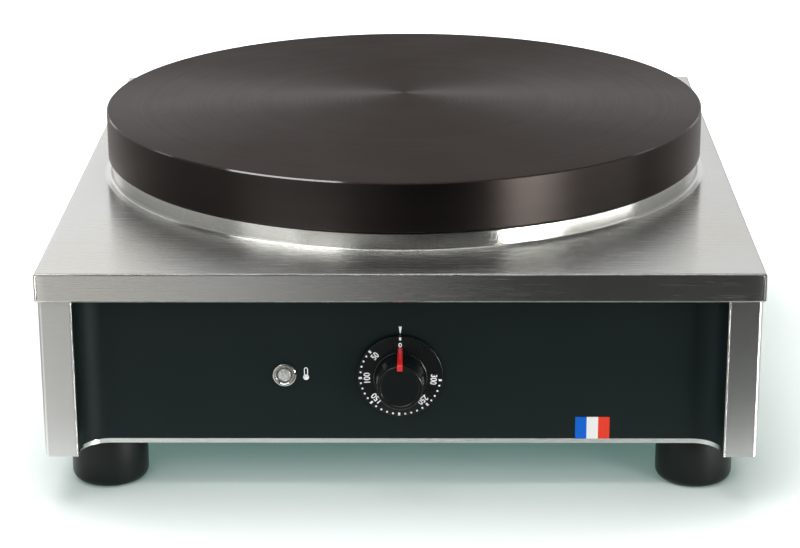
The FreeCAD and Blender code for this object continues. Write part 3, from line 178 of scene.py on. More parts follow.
# %% Directions of the lines
def across_lines(tree, lines):
    """The tangent of a surface with fine lines: square to the lines and to the normal."""
    normal = add(tree, "NewGeometry", output="Normal")
    across = add(tree, "VectorMath", {0: normal, 1: lines}, operation="CROSS_PRODUCT")
    nudged = add(tree, "VectorMath", {0: across, 1: (0.0, 0.02, 0.0)}, operation="ADD")
    return add(tree, "VectorMath", {0: nudged}, operation="NORMALIZE")


def round_lines(tree, place):
    """The direction of lines that run round the upright axis."""
    flat = add(tree, "VectorMath", {0: place, 1: (1.0, 1.0, 0.0)}, operation="MULTIPLY")
    return add(tree, "VectorMath", {0: (0.0, 0.0, 1.0), 1: flat}, operation="CROSS_PRODUCT")


def round_place(tree, place):
    """The place as the distance from the upright axis and the height, with no angle."""
    flat = add(tree, "VectorMath", {0: place, 1: (1.0, 1.0, 0.0)}, operation="MULTIPLY")
    radius = add(tree, "VectorMath", {0: flat}, output="Value", operation="LENGTH")
    return add(tree, "CombineXYZ", {"X": radius, "Z": part_of(tree, place, "Z")})


print("directions ready")

# %% [markdown]
# Noise stretched along the lines varies the colour and the roughness a little and lifts a fine
# bump. On the pan the lines run left to right and go down over the folded sides. On the posts and
# the side panels they run level, and one diagonal direction serves both. A slow cloud gives the
# faint warm patches of handled steel.

# %% Brushed stainless
def brushed_steel(colour, lines, scales, roughness, depth, warm=0.0):
    """Builds brushed steel. Lines is their direction, or None where they run round the axis."""
    def build(tree):
        place = object_place(tree)
        read_at = place if lines else round_place(tree, place)
        coarse = stretched_noise(tree, read_at, scales[0])
        fine = stretched_noise(tree, read_at, scales[1], 2.0)
        clouds = add(tree, "TexNoise", {"Vector": place, "Scale": 9.0, "Detail": 3.0})
        both = math_node(tree, "ADD", coarse, fine)
        half = math_node(tree, "MULTIPLY", both, 0.5)
        from_lines = between(tree, half, -0.05, 0.05)
        stained = math_node(tree, "ADD", from_lines, between(tree, clouds, -0.02, 0.02))
        darker = tuple(value * 0.93 for value in colour)
        brushed = blend_colours(tree, between(tree, half, 0.0, 1.0), darker, colour)
        tint = tuple(value * share for value, share in zip(colour, (1.0, 0.92, 0.80)))
        return {
            "Base Color": blend_colours(tree, between(tree, clouds, -warm, warm), brushed, tint),
            "Metallic": 1.0,
            "Roughness": math_node(tree, "ADD", stained, roughness),
            "Anisotropic": 0.93,
            "Tangent": across_lines(tree, lines or round_lines(tree, place)),
            "Normal": bump(tree, half, depth),
        }
    return build


steel_colour = (0.79, 0.795, 0.775)
left_to_right = (1.0, 0.0, 0.0)
level_on_both = (1.0, 1.0, 0.0)
pan_scales = ((9.0, 1200.0, 1200.0), (24.0, 3600.0, 3600.0))
post_scales = ((22.0, 22.0, 1000.0), (50.0, 50.0, 3200.0))
collar_scales = ((400.0, 1.0, 400.0), (1500.0, 1.0, 1500.0))
finishes = {}
finishes["stainless_top"] = surface("stainless_top", brushed_steel(
    steel_colour, left_to_right, pan_scales, 0.25, 0.000007, warm=0.35))
finishes["stainless_side"] = surface("stainless_side", brushed_steel(
    steel_colour, level_on_both, post_scales, 0.32, 0.000014))
finishes["stainless_front"] = surface("stainless_front", brushed_steel(
    steel_colour, level_on_both, post_scales, 0.26, 0.000004))
spun_steel = surface("spun_steel", brushed_steel(
    (0.70, 0.70, 0.67), None, collar_scales, 0.24, 0.000001, warm=0.2))
print("brushed steel for", sorted(finishes))

# %% [markdown]
# The griddle is grey iron, turned on a lathe and then seasoned with oil, so it is dark brown with
# fine rings round its middle. Rings come from noise read without the angle. The tangent points
# across the rings, so a light is drawn out into the fan that turned metal shows. The top carries
# the oil and is dull, while the turned side is barer and keeps the shine of metal. The broken top
# edge is rubbed smooth by the spatula, and a clear coat gives it its own small shine. That edge is
# found by the radius and the height added up, which only the outermost top ring brings so high.

# %% Turned cast iron
plate_low, plate_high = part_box("griddle_plate")
plate_radius = plate_high.x
edge_round = 0.0008
edge_reach = edge_round * 1.05


def turned_iron(tree):
    """Builds the seasoned iron of the griddle plate."""
    place = object_place(tree)
    ring_place = round_place(tree, place)
    rings = stretched_noise(tree, ring_place, (900.0, 1.0, 900.0), 4.0)
    wide_rings = stretched_noise(tree, ring_place, (90.0, 1.0, 90.0), 2.0)
    patches = add(tree, "TexNoise", {"Vector": place, "Scale": 16.0, "Detail": 6.0, "Roughness": 0.55})
    pores = add(tree, "TexNoise", {"Vector": place, "Scale": 900.0, "Detail": 2.0})
    brown = blend_colours(tree, patches, (0.0120, 0.0078, 0.0062), (0.0210, 0.0148, 0.0122))
    colour = blend_colours(tree, wide_rings, brown, (0.0170, 0.0118, 0.0100))
    height = math_node(tree, "ADD", rings, math_node(tree, "MULTIPLY", pores, 0.35))
    dull = math_node(tree, "ADD", between(tree, rings, 0.34, 0.42), between(tree, patches, -0.03, 0.04))
    outward = add(tree, "VectorMath", {0: ring_place, 1: (1.0, 0.0, 1.0)},
                  output="Value", operation="DOT_PRODUCT")
    on_edge = math_node(tree, "GREATER_THAN", outward, plate_radius + plate_high.z - edge_reach)
    facing_up = part_of(tree, add(tree, "NewGeometry", output="Normal"), "Z")
    on_side = math_node(tree, "LESS_THAN", facing_up, 0.5)
    bare = blend_colours(tree, wide_rings, (0.033, 0.028, 0.026), (0.044, 0.038, 0.036))
    return {
        "Base Color": blend_colours(tree, on_side, colour, bare),
        "Metallic": on_side,
        "Roughness": dull,
        "Specular IOR Level": 0.05,
        "Specular Tint": (1.0, 0.95, 0.92),
        "Coat Weight": on_edge,
        "Coat Roughness": 0.10,
        "Coat IOR": 1.6,
        "Anisotropic": 0.85,
        "Tangent": across_lines(tree, round_lines(tree, place)),
        "Normal": bump(tree, height, 0.00002, 0.6),
    }


finishes["cast_iron"] = surface("cast_iron", turned_iron)
print("turned iron ready")

# %% [markdown]
# The plastics and the rubber differ in colour, gloss and grain only: the control film is black
# with a green cast and a fine leather-like grain, the feet are satin rubber, and the knob has the
# spark-eroded grain of a mould. One builder takes those three as values. The dull fibre blanket and
# the element's dark sheath inside the body are made by it too.

# %% Plastics and rubber
def grained(colour, roughness, grain_size, depth, specular=0.5, coat=0.0):
    """Builds a plain coloured material with a fine grain and slight wear."""
    def build(tree):
        place = object_place(tree)
        grain = add(tree, "TexNoise", {"Vector": place, "Scale": 1.0 / grain_size, "Detail": 3.0})
        clouds = add(tree, "TexNoise", {"Vector": place, "Scale": 22.0, "Detail": 4.0})
        paler = tuple(min(1.0, value * 1.25 + 0.002) for value in colour)
        mottled = math_node(tree, "MULTIPLY", math_node(tree, "ADD", grain, clouds), 0.5)
        return {
            "Base Color": blend_colours(tree, mottled, colour, paler),
            "Roughness": between(tree, mottled, roughness - 0.05, roughness + 0.05),
            "Specular IOR Level": specular,
            "Coat Weight": coat,
            "Coat Roughness": 0.08,
            "Normal": bump(tree, grain, depth, 0.7),
        }
    return build


plastics = {
    "fascia_black": grained((0.0052, 0.0112, 0.0107), 0.42, 0.0006, 0.00002, specular=0.14),
    "foot_rubber": grained((0.0036, 0.0062, 0.0056), 0.34, 0.0005, 0.00001, specular=0.22),
    "control_plastic": grained((0.045, 0.045, 0.045), 0.45, 0.0005, 0.00002),
    "knob_plastic": grained((0.0040, 0.0062, 0.0060), 0.26, 0.0006, 0.00001, specular=0.30),
    "pointer_red": grained((0.62, 0.012, 0.014), 0.22, 0.002, 0.00001, coat=0.6),
    "gland_plastic": grained((0.030, 0.030, 0.031), 0.42, 0.0006, 0.00002),
    "wire_sleeve": grained((0.50, 0.50, 0.47), 0.50, 0.0008, 0.00002),
    "mineral_fibre": grained((0.78, 0.76, 0.70), 0.90, 0.0012, 0.0003),
    "element_sheath": grained((0.07, 0.085, 0.07), 0.55, 0.0007, 0.00003),
}
for slot_name, build_plastic in plastics.items():
    finishes[slot_name] = surface(slot_name, build_plastic)
print("plastics and rubber:", len(plastics))

# %% [markdown]
# The hidden metals are plain: zinc plate with its small spangle, copper and brass. The lamp's
# ring is bright nickel. White print is nearly flat paint.

# %% Plain metals and print
def plain_metal(colour, roughness, spangle):
    """Builds a metal with a faint crystalline pattern."""
    def build(tree):
        place = object_place(tree)
        cells = add(tree, "TexVoronoi", {"Vector": place, "Scale": spangle}, output="Color")
        grey = add(tree, "RGBToBW", {0: cells})
        scuffs = stretched_noise(tree, place, (400.0, 400.0, 1200.0))
        darker = tuple(value * 0.82 for value in colour)
        return {
            "Base Color": blend_colours(tree, grey, darker, colour),
            "Metallic": 1.0,
            "Roughness": between(tree, scuffs, roughness - 0.05, roughness + 0.07),
            "Normal": bump(tree, scuffs, 0.00001, 0.5),
        }
    return build


metals = {
    "galvanised_sheet": plain_metal((0.52, 0.53, 0.54), 0.42, 90.0),
    "zinc_steel": plain_metal((0.56, 0.56, 0.55), 0.34, 400.0),
    "copper": plain_metal((0.72, 0.42, 0.28), 0.30, 500.0),
    "brass_screws": plain_metal((0.74, 0.60, 0.30), 0.32, 500.0),
    "lamp_chrome": plain_metal((0.78, 0.77, 0.73), 0.10, 300.0),
}
for slot_name, build_metal in metals.items():
    finishes[slot_name] = surface(slot_name, build_metal)
white_print = surface("white_print", grained((0.80, 0.82, 0.80), 0.50, 0.0004, 0.00001))
print("metals:", len(metals))

# %% [markdown]
# The badge is a label with three upright stripes. Its place on the panel gives the two limits
# where the colour changes, read from the node's own box, so the stripes stay a third each.

# %% Striped label
badge_low, badge_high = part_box("striped_badge")
stripe_width = (badge_high.x - badge_low.x) / 3
stripe_colours = ((0.001, 0.120, 0.590), (0.830, 0.835, 0.810), (0.770, 0.050, 0.022))


def striped(tree):
    """Builds the label's three stripes."""
    place = object_place(tree)
    across = part_of(tree, place, "X")
    past_first = math_node(tree, "GREATER_THAN", across, badge_low.x + stripe_width)
    past_second = math_node(tree, "GREATER_THAN", across, badge_low.x + 2 * stripe_width)
    first_two = blend_colours(tree, past_first, stripe_colours[0], stripe_colours[1])
    fibres = add(tree, "TexNoise", {"Vector": place, "Scale": 2500.0, "Detail": 2.0})
    return {
        "Base Color": blend_colours(tree, past_second, first_two, stripe_colours[2]),
        "Roughness": between(tree, fibres, 0.26, 0.36),
        "Specular IOR Level": 0.15,
        "Normal": bump(tree, fibres, 0.000005, 0.5),
    }


finishes["badge"] = surface("badge", striped)
print("label ready")

# %% [markdown]
# The pilot lamp's lens is clear plastic with small prisms moulded inside. It is drawn as a pale
# solid with a glossy coat, where rounded cells stand for the prisms, each darker at its walls as a painted
# shade.

# %% Moulded lens
prisms_per_metre = 620.0


def moulded_lens(tree):
    """Builds the pilot lamp's lens."""
    prisms = {"Vector": object_place(tree), "Scale": prisms_per_metre}
    depth = add(tree, "TexVoronoi", prisms, output="Distance")
    return {
        # painted shade: each prism cell darkens towards its walls
        "Base Color": blend_colours(tree, depth, (0.62, 0.64, 0.60), (0.20, 0.21, 0.20)),
        "Roughness": between(tree, depth, 0.10, 0.22),
        "Specular IOR Level": 0.6,
        "Coat Weight": 0.8,
        "Coat Roughness": 0.04,
        "Normal": bump(tree, depth, 0.0003, 0.8),
    }


finishes["lamp_clear"] = surface("lamp_clear", moulded_lens)
print("lens ready")

# %% [markdown]
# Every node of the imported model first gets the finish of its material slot. The pieces that are
# modelled again below then take their nodes' place.

# %% Finish every node
for subpart in frame["record"]["subparts"]:
    node_object = frame["nodes"][subpart["node"]]
    for material_slot in node_object.material_slots:
        material_slot.link = "OBJECT"
        material_slot.material = finishes[subpart["material_slot"]]
print(len(frame["nodes"]), "nodes dressed with", len(finishes), "finishes")

# %% [markdown]
# Round pieces are turned as on a lathe: half of the section is drawn as a chain of points, and
# the spin tool sweeps it round the axis. Rounded corners are short arcs in that chain. A finished
# mesh is shaded smooth, with its true corners kept sharp.

# %% Helpers for turned pieces
def arc(centre, radius, start, end, steps=6):
    """Points on a circle, from one angle to another in degrees."""
    angles = [math.radians(start + (end - start) * step / steps) for step in range(steps + 1)]
    return [(centre[0] + radius * math.cos(a), centre[1] + radius * math.sin(a)) for a in angles]


def turned(section, closed=False, steps=180):
    """A mesh turned round Z from its half section of radius and height."""
    mesh = bmesh.new()
    points = [mesh.verts.new((radius, 0.0, height)) for radius, height in section]
    chain = list(zip(points, points[1:]))
    if closed:
        chain.append((points[-1], points[0]))
    edges = [mesh.edges.new(pair) for pair in chain]
    bmesh.ops.spin(mesh, geom=points + edges, cent=(0, 0, 0), axis=(0, 0, 1),
                   angle=math.tau, steps=steps, use_merge=True, use_duplicate=False)
    bmesh.ops.remove_doubles(mesh, verts=mesh.verts, dist=1e-7)
    bmesh.ops.recalc_face_normals(mesh, faces=mesh.faces)
    return mesh


def lay_along_y(mesh, x, z):
    """Turns a piece made round Z so that its axis lies along Y, at the given place."""
    tip_over = Matrix.Rotation(math.radians(-90), 3, "X")
    bmesh.ops.rotate(mesh, verts=mesh.verts, cent=(0, 0, 0), matrix=tip_over)
    bmesh.ops.translate(mesh, verts=mesh.verts, vec=(x, 0, z))
    return mesh


def finished(name, mesh, finish, body="body", stands_for=(), sharp=35.0):
    """Makes the object of a mesh, shades it, and puts it on its body."""
    data = bpy.data.meshes.new(name)
    mesh.to_mesh(data)
    mesh.free()
    data.shade_smooth()
    data.set_sharp_from_angle(angle=math.radians(sharp))
    data.materials.append(finish)
    piece = bpy.data.objects.new(name, data)
    bpy.context.scene.collection.objects.link(piece)
    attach(piece, body)
    if stands_for:
        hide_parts(*stands_for)
    print(name, len(data.polygons), "faces")
    return piece


print("helpers for turned pieces ready")

# %% [markdown]
# The griddle plate is one casting: a thick disc with a rim that hangs down round a hollow. Its top
# edge has a small flat chamfer, which catches the thin bright line of the rim.

# %% Griddle plate
rim_wall = 0.012
top_wall = 0.0165
inner_radius = plate_radius - rim_wall
ceiling = plate_high.z - top_wall
cast_round = 0.004
plate_section = [(0.0, plate_high.z), (plate_radius * 0.5, plate_high.z)]
plate_section += [(plate_radius - edge_round, plate_high.z), (plate_radius, plate_high.z - edge_round)]
plate_section += arc((plate_radius - edge_round, plate_low.z + edge_round), edge_round, 0, -90)
plate_section += [(inner_radius, plate_low.z)]
plate_section += arc((inner_radius - cast_round, ceiling - cast_round), cast_round, 0, 90)
plate_section += [(0.0, ceiling)]
finished("griddle_disc", turned(plate_section, steps=360), finishes["cast_iron"],
         stands_for=["griddle_plate"])

# %% [markdown]
# The collar is a thin ring that stands round the plate and flows out into the pan through a
# hollow curve. It is turned too, as a closed section one sheet thick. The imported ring's curve is
# wide, and the real one is tight, so this one keeps the wall where it is and draws a smaller curve.

# %% Collar
collar_low, collar_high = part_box("plate_collar")
sheet = 0.0012
packed_curve = 0.005
lip_round = sheet / 2
collar_wall = collar_high.x - packed_curve
small_curve = 0.0022
deck_z = collar_low.z + sheet
curve_centre = (collar_wall + small_curve, deck_z + small_curve)
collar_section = [(collar_high.x, deck_z)]
collar_section += arc(curve_centre, small_curve, 270, 180, 12)
collar_section += arc((collar_wall - lip_round, collar_high.z - lip_round), lip_round, 0, 180, 6)
collar_section += arc(curve_centre, small_curve + sheet, 180, 270, 12)
collar_section += [(collar_high.x, collar_low.z)]
finished("collar_ring", turned(collar_section, closed=True, steps=360), spun_steel,
         stands_for=["plate_collar"], sharp=50.0)

# %% [markdown]
# The pan is one folded sheet with a round hole. It starts as the hole's circle. Its edge is
# extruded out to the rectangle, where each point slides along its own ray, and then down for the
# skirt, whose last millimetre turns in a little where the blade cut it.

# %% Pan sheet and skirt
pan_low, pan_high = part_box("top_pan")
half_width, half_depth = pan_high.x, pan_high.y
hole_points = 360
hem_height = 0.0011
hem_depth = 0.0008


def on_rectangle(point):
    """Where the ray from the middle through a point meets the pan's outline."""
    stretch = min(half_width / max(abs(point.x), 1e-9), half_depth / max(abs(point.y), 1e-9))
    return Vector((point.x * stretch, point.y * stretch, point.z))


def extruded_loop(mesh, edges):
    """Extrudes open edges and returns the new points and the new edges."""
    made = bmesh.ops.extrude_edge_only(mesh, edges=edges)["geom"]
    points = [item for item in made if isinstance(item, bmesh.types.BMVert)]
    return points, [item for item in made if isinstance(item, bmesh.types.BMEdge)]


pan = bmesh.new()
bmesh.ops.create_circle(pan, segments=hole_points, radius=collar_high.x)
bmesh.ops.translate(pan, verts=pan.verts, vec=(0, 0, pan_high.z))
rim_points, rim_edges = extruded_loop(pan, list(pan.edges))
for point in rim_points:
    point.co = on_rectangle(point.co)
for x_side in (-1, 1):
    for y_side in (-1, 1):
        corner = Vector((x_side * half_width, y_side * half_depth, pan_high.z))
        nearest = min(rim_points, key=lambda point: (point.co - corner).length)
        nearest.co = corner
skirt_points, skirt_edges = extruded_loop(pan, rim_edges)
bmesh.ops.translate(pan, verts=skirt_points, vec=(0, 0, pan_low.z + hem_height - pan_high.z))
hem_points, _ = extruded_loop(pan, skirt_edges)
bmesh.ops.translate(pan, verts=hem_points, vec=(0, 0, -hem_height))
hem_shrink = (1 - hem_depth / half_width, 1 - hem_depth / half_depth, 1)
bmesh.ops.scale(pan, verts=hem_points, vec=hem_shrink)
print("pan sheet", len(pan.faces), "faces")

# %% [markdown]
# The fold between the deck and the skirt is a bevel of the rectangle's edges. The corners of the
# skirt are not welded: at each end of the front and the back a slit shows where the folded flanges
# meet. Two cuts mark the slit's sides, and the faces between them are deleted.

# %% Fold and slits
fold_round = 0.0015
seam_width = 0.0004
on_front_or_back = half_depth - sheet / 4
bmesh.ops.bevel(pan, geom=rim_edges, offset=fold_round, offset_type="OFFSET", segments=5, profile=0.5,
                affect="EDGES", material=-1, clamp_overlap=False)
for x_side in (-1, 1):
    for inset in (sheet, sheet + seam_width):
        everything = pan.verts[:] + pan.edges[:] + pan.faces[:]
        bmesh.ops.bisect_plane(pan, geom=everything, plane_co=(x_side * (half_width - inset), 0, 0),
                               plane_no=(1, 0, 0), dist=1e-7)
slit = []
for face in pan.faces:
    middle = face.calc_center_median()
    in_slit = half_width - sheet - seam_width < abs(middle.x) < half_width - sheet
    if in_slit and abs(middle.y) > on_front_or_back and middle.z < pan_high.z - fold_round:
        slit.append(face)
bmesh.ops.delete(pan, geom=slit, context="FACES")
bmesh.ops.recalc_face_normals(pan, faces=pan.faces)
print("slits cut:", len(slit), "faces")

# %% [markdown]
# A Solidify modifier gives the sheet its thickness, inwards, so that the outside keeps the packed
# size. The wide flat faces meet narrow ones at the fold, which would shade them like a pillow, and
# a Weighted Normal modifier keeps them flat to the eye.

# %% Pan thickness
pan_piece = finished("pan_shell", pan, finishes["stainless_top"],
                     stands_for=["top_pan"])
thickness = pan_piece.modifiers.new("sheet", "SOLIDIFY")
thickness.thickness = sheet
thickness.offset = -1.0
thickness.use_even_offset = True
flatten = pan_piece.modifiers.new("flat_faces", "WEIGHTED_NORMAL")
flatten.keep_sharp = True
flatten.weight = 100

# %% [markdown]
# The two upright ends of the front panel stand beside the posts. Their cut edge is rounded over,
# and that round, a little proud of the panel, is the bright line beside each post. It is a thin
# upright rod on the sheet's end.

# %% Rounded ends of the front panel
panel_low, panel_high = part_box("front_panel")
bead_radius = sheet / 2
bead_proud = sheet / 3
bead_height = panel_high.z - panel_low.z
for side_name, x_side in (("left", -1), ("right", 1)):
    bead = bmesh.new()
    bmesh.ops.create_cone(bead, cap_ends=True, segments=24, radius1=bead_radius, radius2=bead_radius,
                          depth=bead_height)
    bead_x = x_side * (panel_high.x - bead_radius)
    bead_place = (bead_x, panel_low.y + bead_radius - bead_proud, (panel_low.z + panel_high.z) / 2)
    bmesh.ops.translate(bead, verts=bead.verts, vec=bead_place)
    finished("panel_end_" + side_name, bead, finishes["stainless_front"])

# %% [markdown]
# The feet are turned rubber, with a soft lower edge and a well underneath for the screw. The well
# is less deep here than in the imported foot, so its ceiling covers the screw's head.

# %% Feet
foot_names = ["foot_front_left", "foot_front_right", "foot_rear_left", "foot_rear_right"]
foot_edge = 0.0008
foot_round = 0.006
well_radius = 0.0075
well_depth = 0.013
screw_hole = 0.0032


def foot_mesh(node):
    """One foot, turned round its own axis and moved under its corner."""
    low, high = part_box(node)
    centre = (low + high) / 2
    radius = (high.x - low.x) / 2
    section = arc((radius - foot_edge, high.z - foot_edge), foot_edge, 90, 0, 4)
    section += arc((radius - foot_round, foot_round), foot_round, 0, -90, 10)
    section += [(well_radius, 0.0), (well_radius, well_depth)]
    section += [(screw_hole, well_depth), (screw_hole, high.z)]
    mesh = turned(section, closed=True, steps=96)
    bmesh.ops.translate(mesh, verts=mesh.verts, vec=(centre.x, centre.y, 0))
    return mesh


for node in foot_names:
    finished(node.replace("foot", "rubber_foot"), foot_mesh(node), finishes["foot_rubber"],
             stands_for=[node])

# %% [markdown]
# The dial is a shallow plastic dish, open at the back, with a broken front edge. It is turned
# like the round pieces before it, and then tipped over so that its axis points forward.

# %% Temperature dial
dial_low, dial_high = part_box("temperature_dial")
knob_z = (dial_low.z + dial_high.z) / 2
dial_radius = (dial_high.z - dial_low.z) / 2
dial_wall = 0.0016
dial_edge = 0.0007
shaft_hole = 0.00305
dial_section = [(shaft_hole, dial_low.y)]
dial_section += arc((dial_radius - dial_edge, dial_low.y + dial_edge), dial_edge, -90, 0, 5)
dial_section += [(dial_radius, dial_high.y), (dial_radius - dial_wall, dial_high.y)]
dial_section += [(dial_radius - dial_wall, dial_low.y + dial_wall), (shaft_hole, dial_low.y + dial_wall)]
finished("dial_disc", lay_along_y(turned(dial_section, closed=True, steps=144), 0, knob_z),
         finishes["knob_plastic"], body="control_knob",
         stands_for=["temperature_dial"])

# %% [markdown]
# White print is modelled as a very thin layer, so that it also shows on the bare mesh. A mark is
# made flat about its own middle, as a bar, a disc or a number from a text object made mesh. It is
# then stood up to face forward, and several marks are poured into one mesh.

# %% Helpers for print
print_depth = 0.00005
boldness = 0.022


def stand_on_panel(mesh, x, y, z, turned_by=0.0):
    """Stands a flat mark up so that it faces forward, turned about its own middle, at a place."""
    spin_it = Matrix.Rotation(turned_by, 4, "Z")
    face_front = Matrix.Rotation(math.radians(90), 4, "X")
    place = Matrix.Translation((x, y, z)) @ face_front @ spin_it
    bmesh.ops.transform(mesh, verts=mesh.verts, matrix=place)
    return mesh


def poured(target, mesh):
    """Adds one mesh to another and frees it."""
    data = bpy.data.meshes.new("mark")
    mesh.to_mesh(data)
    mesh.free()
    target.from_mesh(data)
    bpy.data.meshes.remove(data)


def bar_mark(width, height):
    """A flat rectangle of print."""
    mesh = bmesh.new()
    bmesh.ops.create_cube(mesh, size=1.0)
    bmesh.ops.scale(mesh, verts=mesh.verts, vec=(width, height, print_depth))
    return mesh


def round_mark(radius, steps=24):
    """A flat disc of print."""
    mesh = bmesh.new()
    bmesh.ops.create_cone(mesh, cap_ends=True, segments=steps, radius1=radius, radius2=radius,
                          depth=print_depth)
    return mesh


def number_mark(words, width, height):
    """A number as a mesh of the given size, about its own middle."""
    letters = bpy.data.curves.new("number", type="FONT")
    letters.body = words
    letters.extrude = print_depth / 2
    letters.offset = boldness
    holder = bpy.data.objects.new("number", letters)
    bpy.context.scene.collection.objects.link(holder)
    bpy.context.view_layer.update()
    data = bpy.data.meshes.new_from_object(holder.evaluated_get(bpy.context.evaluated_depsgraph_get()))
    bpy.data.objects.remove(holder)
    mesh = bmesh.new()
    mesh.from_mesh(data)
    bpy.data.meshes.remove(data)
    low = Vector((min(v.co.x for v in mesh.verts), min(v.co.y for v in mesh.verts), 0))
    high = Vector((max(v.co.x for v in mesh.verts), max(v.co.y for v in mesh.verts), 0))
    bmesh.ops.translate(mesh, verts=mesh.verts, vec=-(low + high) / 2)
    bmesh.ops.scale(mesh, verts=mesh.verts, vec=(width / (high.x - low.x), height / (high.y - low.y), 1))
    return mesh


print("print is", print_depth * 1000, "mm deep")

# %% [markdown]
# The scale has a wide tick at each number, round dots between the ticks from fifty up, and numbers
# that stand on the ring with their tops outward. The angles were read from the photograph, counted
# to the left from the top. The lowest number is set a little further in, where the grip hides it.

# %% Dial scale
scale_angles = {0: 0.0, 50: 49.0, 100: 92.0, 150: 133.5, 200: 178.0, 250: 222.0, 300: 264.6}
tick_radius = 0.0243
tick_width, tick_height = 0.0013, 0.0019
number_radius = 0.0203
number_height = 0.0040
nought_height = number_height * 0.72
digit_width = 0.00215
dot_radius = 0.00062
dot_steps = 16
steps_between = 5
hidden_number = 200
hidden_inset = 0.001


def on_dial(mesh, radius, degrees):
    """Lays a mark on the dial at an angle counted to the left from the top."""
    angle = math.radians(degrees)
    x = -radius * math.sin(angle)
    z = knob_z + radius * math.cos(angle)
    return stand_on_panel(mesh, x, dial_low.y - print_depth / 2, z, angle)


scale = bmesh.new()
steps_of_scale = list(scale_angles.items())
for temperature, degrees in steps_of_scale:
    poured(scale, on_dial(bar_mark(tick_width, tick_height), tick_radius, degrees))
    words = str(temperature)
    height = number_height if temperature else nought_height
    radius = number_radius - (hidden_inset if temperature == hidden_number else 0.0)
    poured(scale, on_dial(number_mark(words, digit_width * len(words), height), radius, degrees))
for (_, first), (_, last) in zip(steps_of_scale[1:], steps_of_scale[2:]):
    for step in range(1, steps_between):
        degrees = first + (last - first) * step / steps_between
        poured(scale, on_dial(round_mark(dot_radius, dot_steps), tick_radius, degrees))
finished("dial_scale", scale, white_print, body="control_knob", sharp=30.0)

# %% [markdown]
# The grip is a tapered drum with a rounded front edge, a slight dish in its face and a small bead
# round its foot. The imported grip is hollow, with its back closed off by the dial, and this one is
# solid. A red pointer bar lies along its top and turns down over the front.

# %% Knob grip
grip_low, grip_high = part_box("knob_grip")
base_radius = (grip_high.x - grip_low.x) / 2
front_radius = 0.0140
front_round = 0.0012
dish_depth = 0.0005
dish_radius = front_radius - 0.0026
face_inset = 0.0003
face_y = grip_low.y + face_inset
lip_bead = 0.0011
grip_section = [(0.0, face_y + dish_depth), (dish_radius, face_y + dish_depth)]
grip_section += [(dish_radius + dish_depth, face_y)]
grip_section += arc((front_radius - front_round, face_y + front_round), front_round, -90, -6, 6)
grip_section += arc((base_radius - lip_bead, grip_high.y - lip_bead), lip_bead, -120, 0, 8)
grip_section += [(base_radius, grip_high.y), (0.0, grip_high.y)]
finished("grip_drum", lay_along_y(turned(grip_section, steps=144), 0, knob_z),
         finishes["knob_plastic"], body="control_knob", stands_for=["knob_grip"])

# %% [markdown]
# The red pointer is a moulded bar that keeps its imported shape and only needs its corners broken.
# A copy of the node's mesh has its loose triangles merged and its flat faces joined, and a bevel
# then rounds each sharp edge.

# %% Red pointer
pointer_round = 0.0003
pointer = bmesh.new()
pointer.from_mesh(frame["nodes"]["knob_pointer"].data)
bmesh.ops.remove_doubles(pointer, verts=pointer.verts, dist=1e-6)
bmesh.ops.dissolve_limit(pointer, angle_limit=math.radians(1), verts=pointer.verts, edges=pointer.edges)
sharp_edges = [edge for edge in pointer.edges
               if len(edge.link_faces) == 2 and edge.calc_face_angle() > math.radians(30)]
bmesh.ops.bevel(pointer, geom=sharp_edges, offset=pointer_round, offset_type="OFFSET", segments=3,
                profile=0.5, affect="EDGES", material=-1, clamp_overlap=True)
finished("pointer_bar", pointer, finishes["pointer_red"], body="control_knob",
         stands_for=["knob_pointer"])

# %% [markdown]
# The pilot lamp's ring is turned metal with a rounded front. Inside it a short cone leads down to
# the lens. Its section is closed, so that the ring is solid all round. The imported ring's barrel
# runs on behind the panel, where nothing shows it, and isn't drawn again.

# %% Lamp ring
bezel_low, bezel_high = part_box("lamp_bezel")
lens_low, lens_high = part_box("lamp_lens")
lamp_x = (bezel_low.x + bezel_high.x) / 2
lamp_z = (bezel_low.z + bezel_high.z) / 2
bezel_radius = (bezel_high.z - bezel_low.z) / 2
lens_radius = (lens_high.z - lens_low.z) / 2
dial_gap = 0.0005
panel_y = dial_high.y + dial_gap
ring_round = 0.0009
lip_width = 0.0004
lip_depth = 0.0006
cone_inset = 0.0012
cone_depth = 0.0018
bezel_section = arc((bezel_radius - ring_round, bezel_low.y + ring_round), ring_round, 0, -90, 6)
bezel_section += [(lens_radius + lip_width, bezel_low.y)]
bezel_section += [(lens_radius - lip_width / 2, bezel_low.y + lip_depth)]
bezel_section += [(lens_radius - cone_inset, bezel_low.y + cone_depth)]
bezel_section += [(lens_radius - cone_inset, panel_y), (bezel_radius, panel_y)]
finished("lamp_ring", lay_along_y(turned(bezel_section, closed=True, steps=96), lamp_x, lamp_z),
         finishes["lamp_chrome"], stands_for=["lamp_bezel"])

# %% [markdown]
# The lens is a low dome inside the ring, drawn only as wide as the cone's small end. Its front is
# a quarter of an ellipse, turned, and the prisms that the eye sees come from its finish.

# %% Lamp lens
dome_gap = 0.0001
dome_inset = 0.0004
dome_height = 0.0012
dome_radius = lens_radius - cone_inset - dome_gap
dome_front = lens_low.y + dome_inset
dome_back = panel_y - dome_inset
dome_section = [(0.0, dome_front)]
for degrees in range(10, 91, 10):
    angle = math.radians(degrees)
    dome_section.append((dome_radius * math.sin(angle), dome_front + dome_height * (1 - math.cos(angle))))
dome_section += [(dome_radius, dome_back), (0.0, dome_back)]
finished("lamp_dome", lay_along_y(turned(dome_section, steps=64), lamp_x, lamp_z),
         finishes["lamp_clear"], stands_for=["lamp_lens"])

# %% [markdown]
# Two marks are printed on the film. The first is the wedge over the dial that the scale is read
# against. It is a bar whose lower end is drawn together.

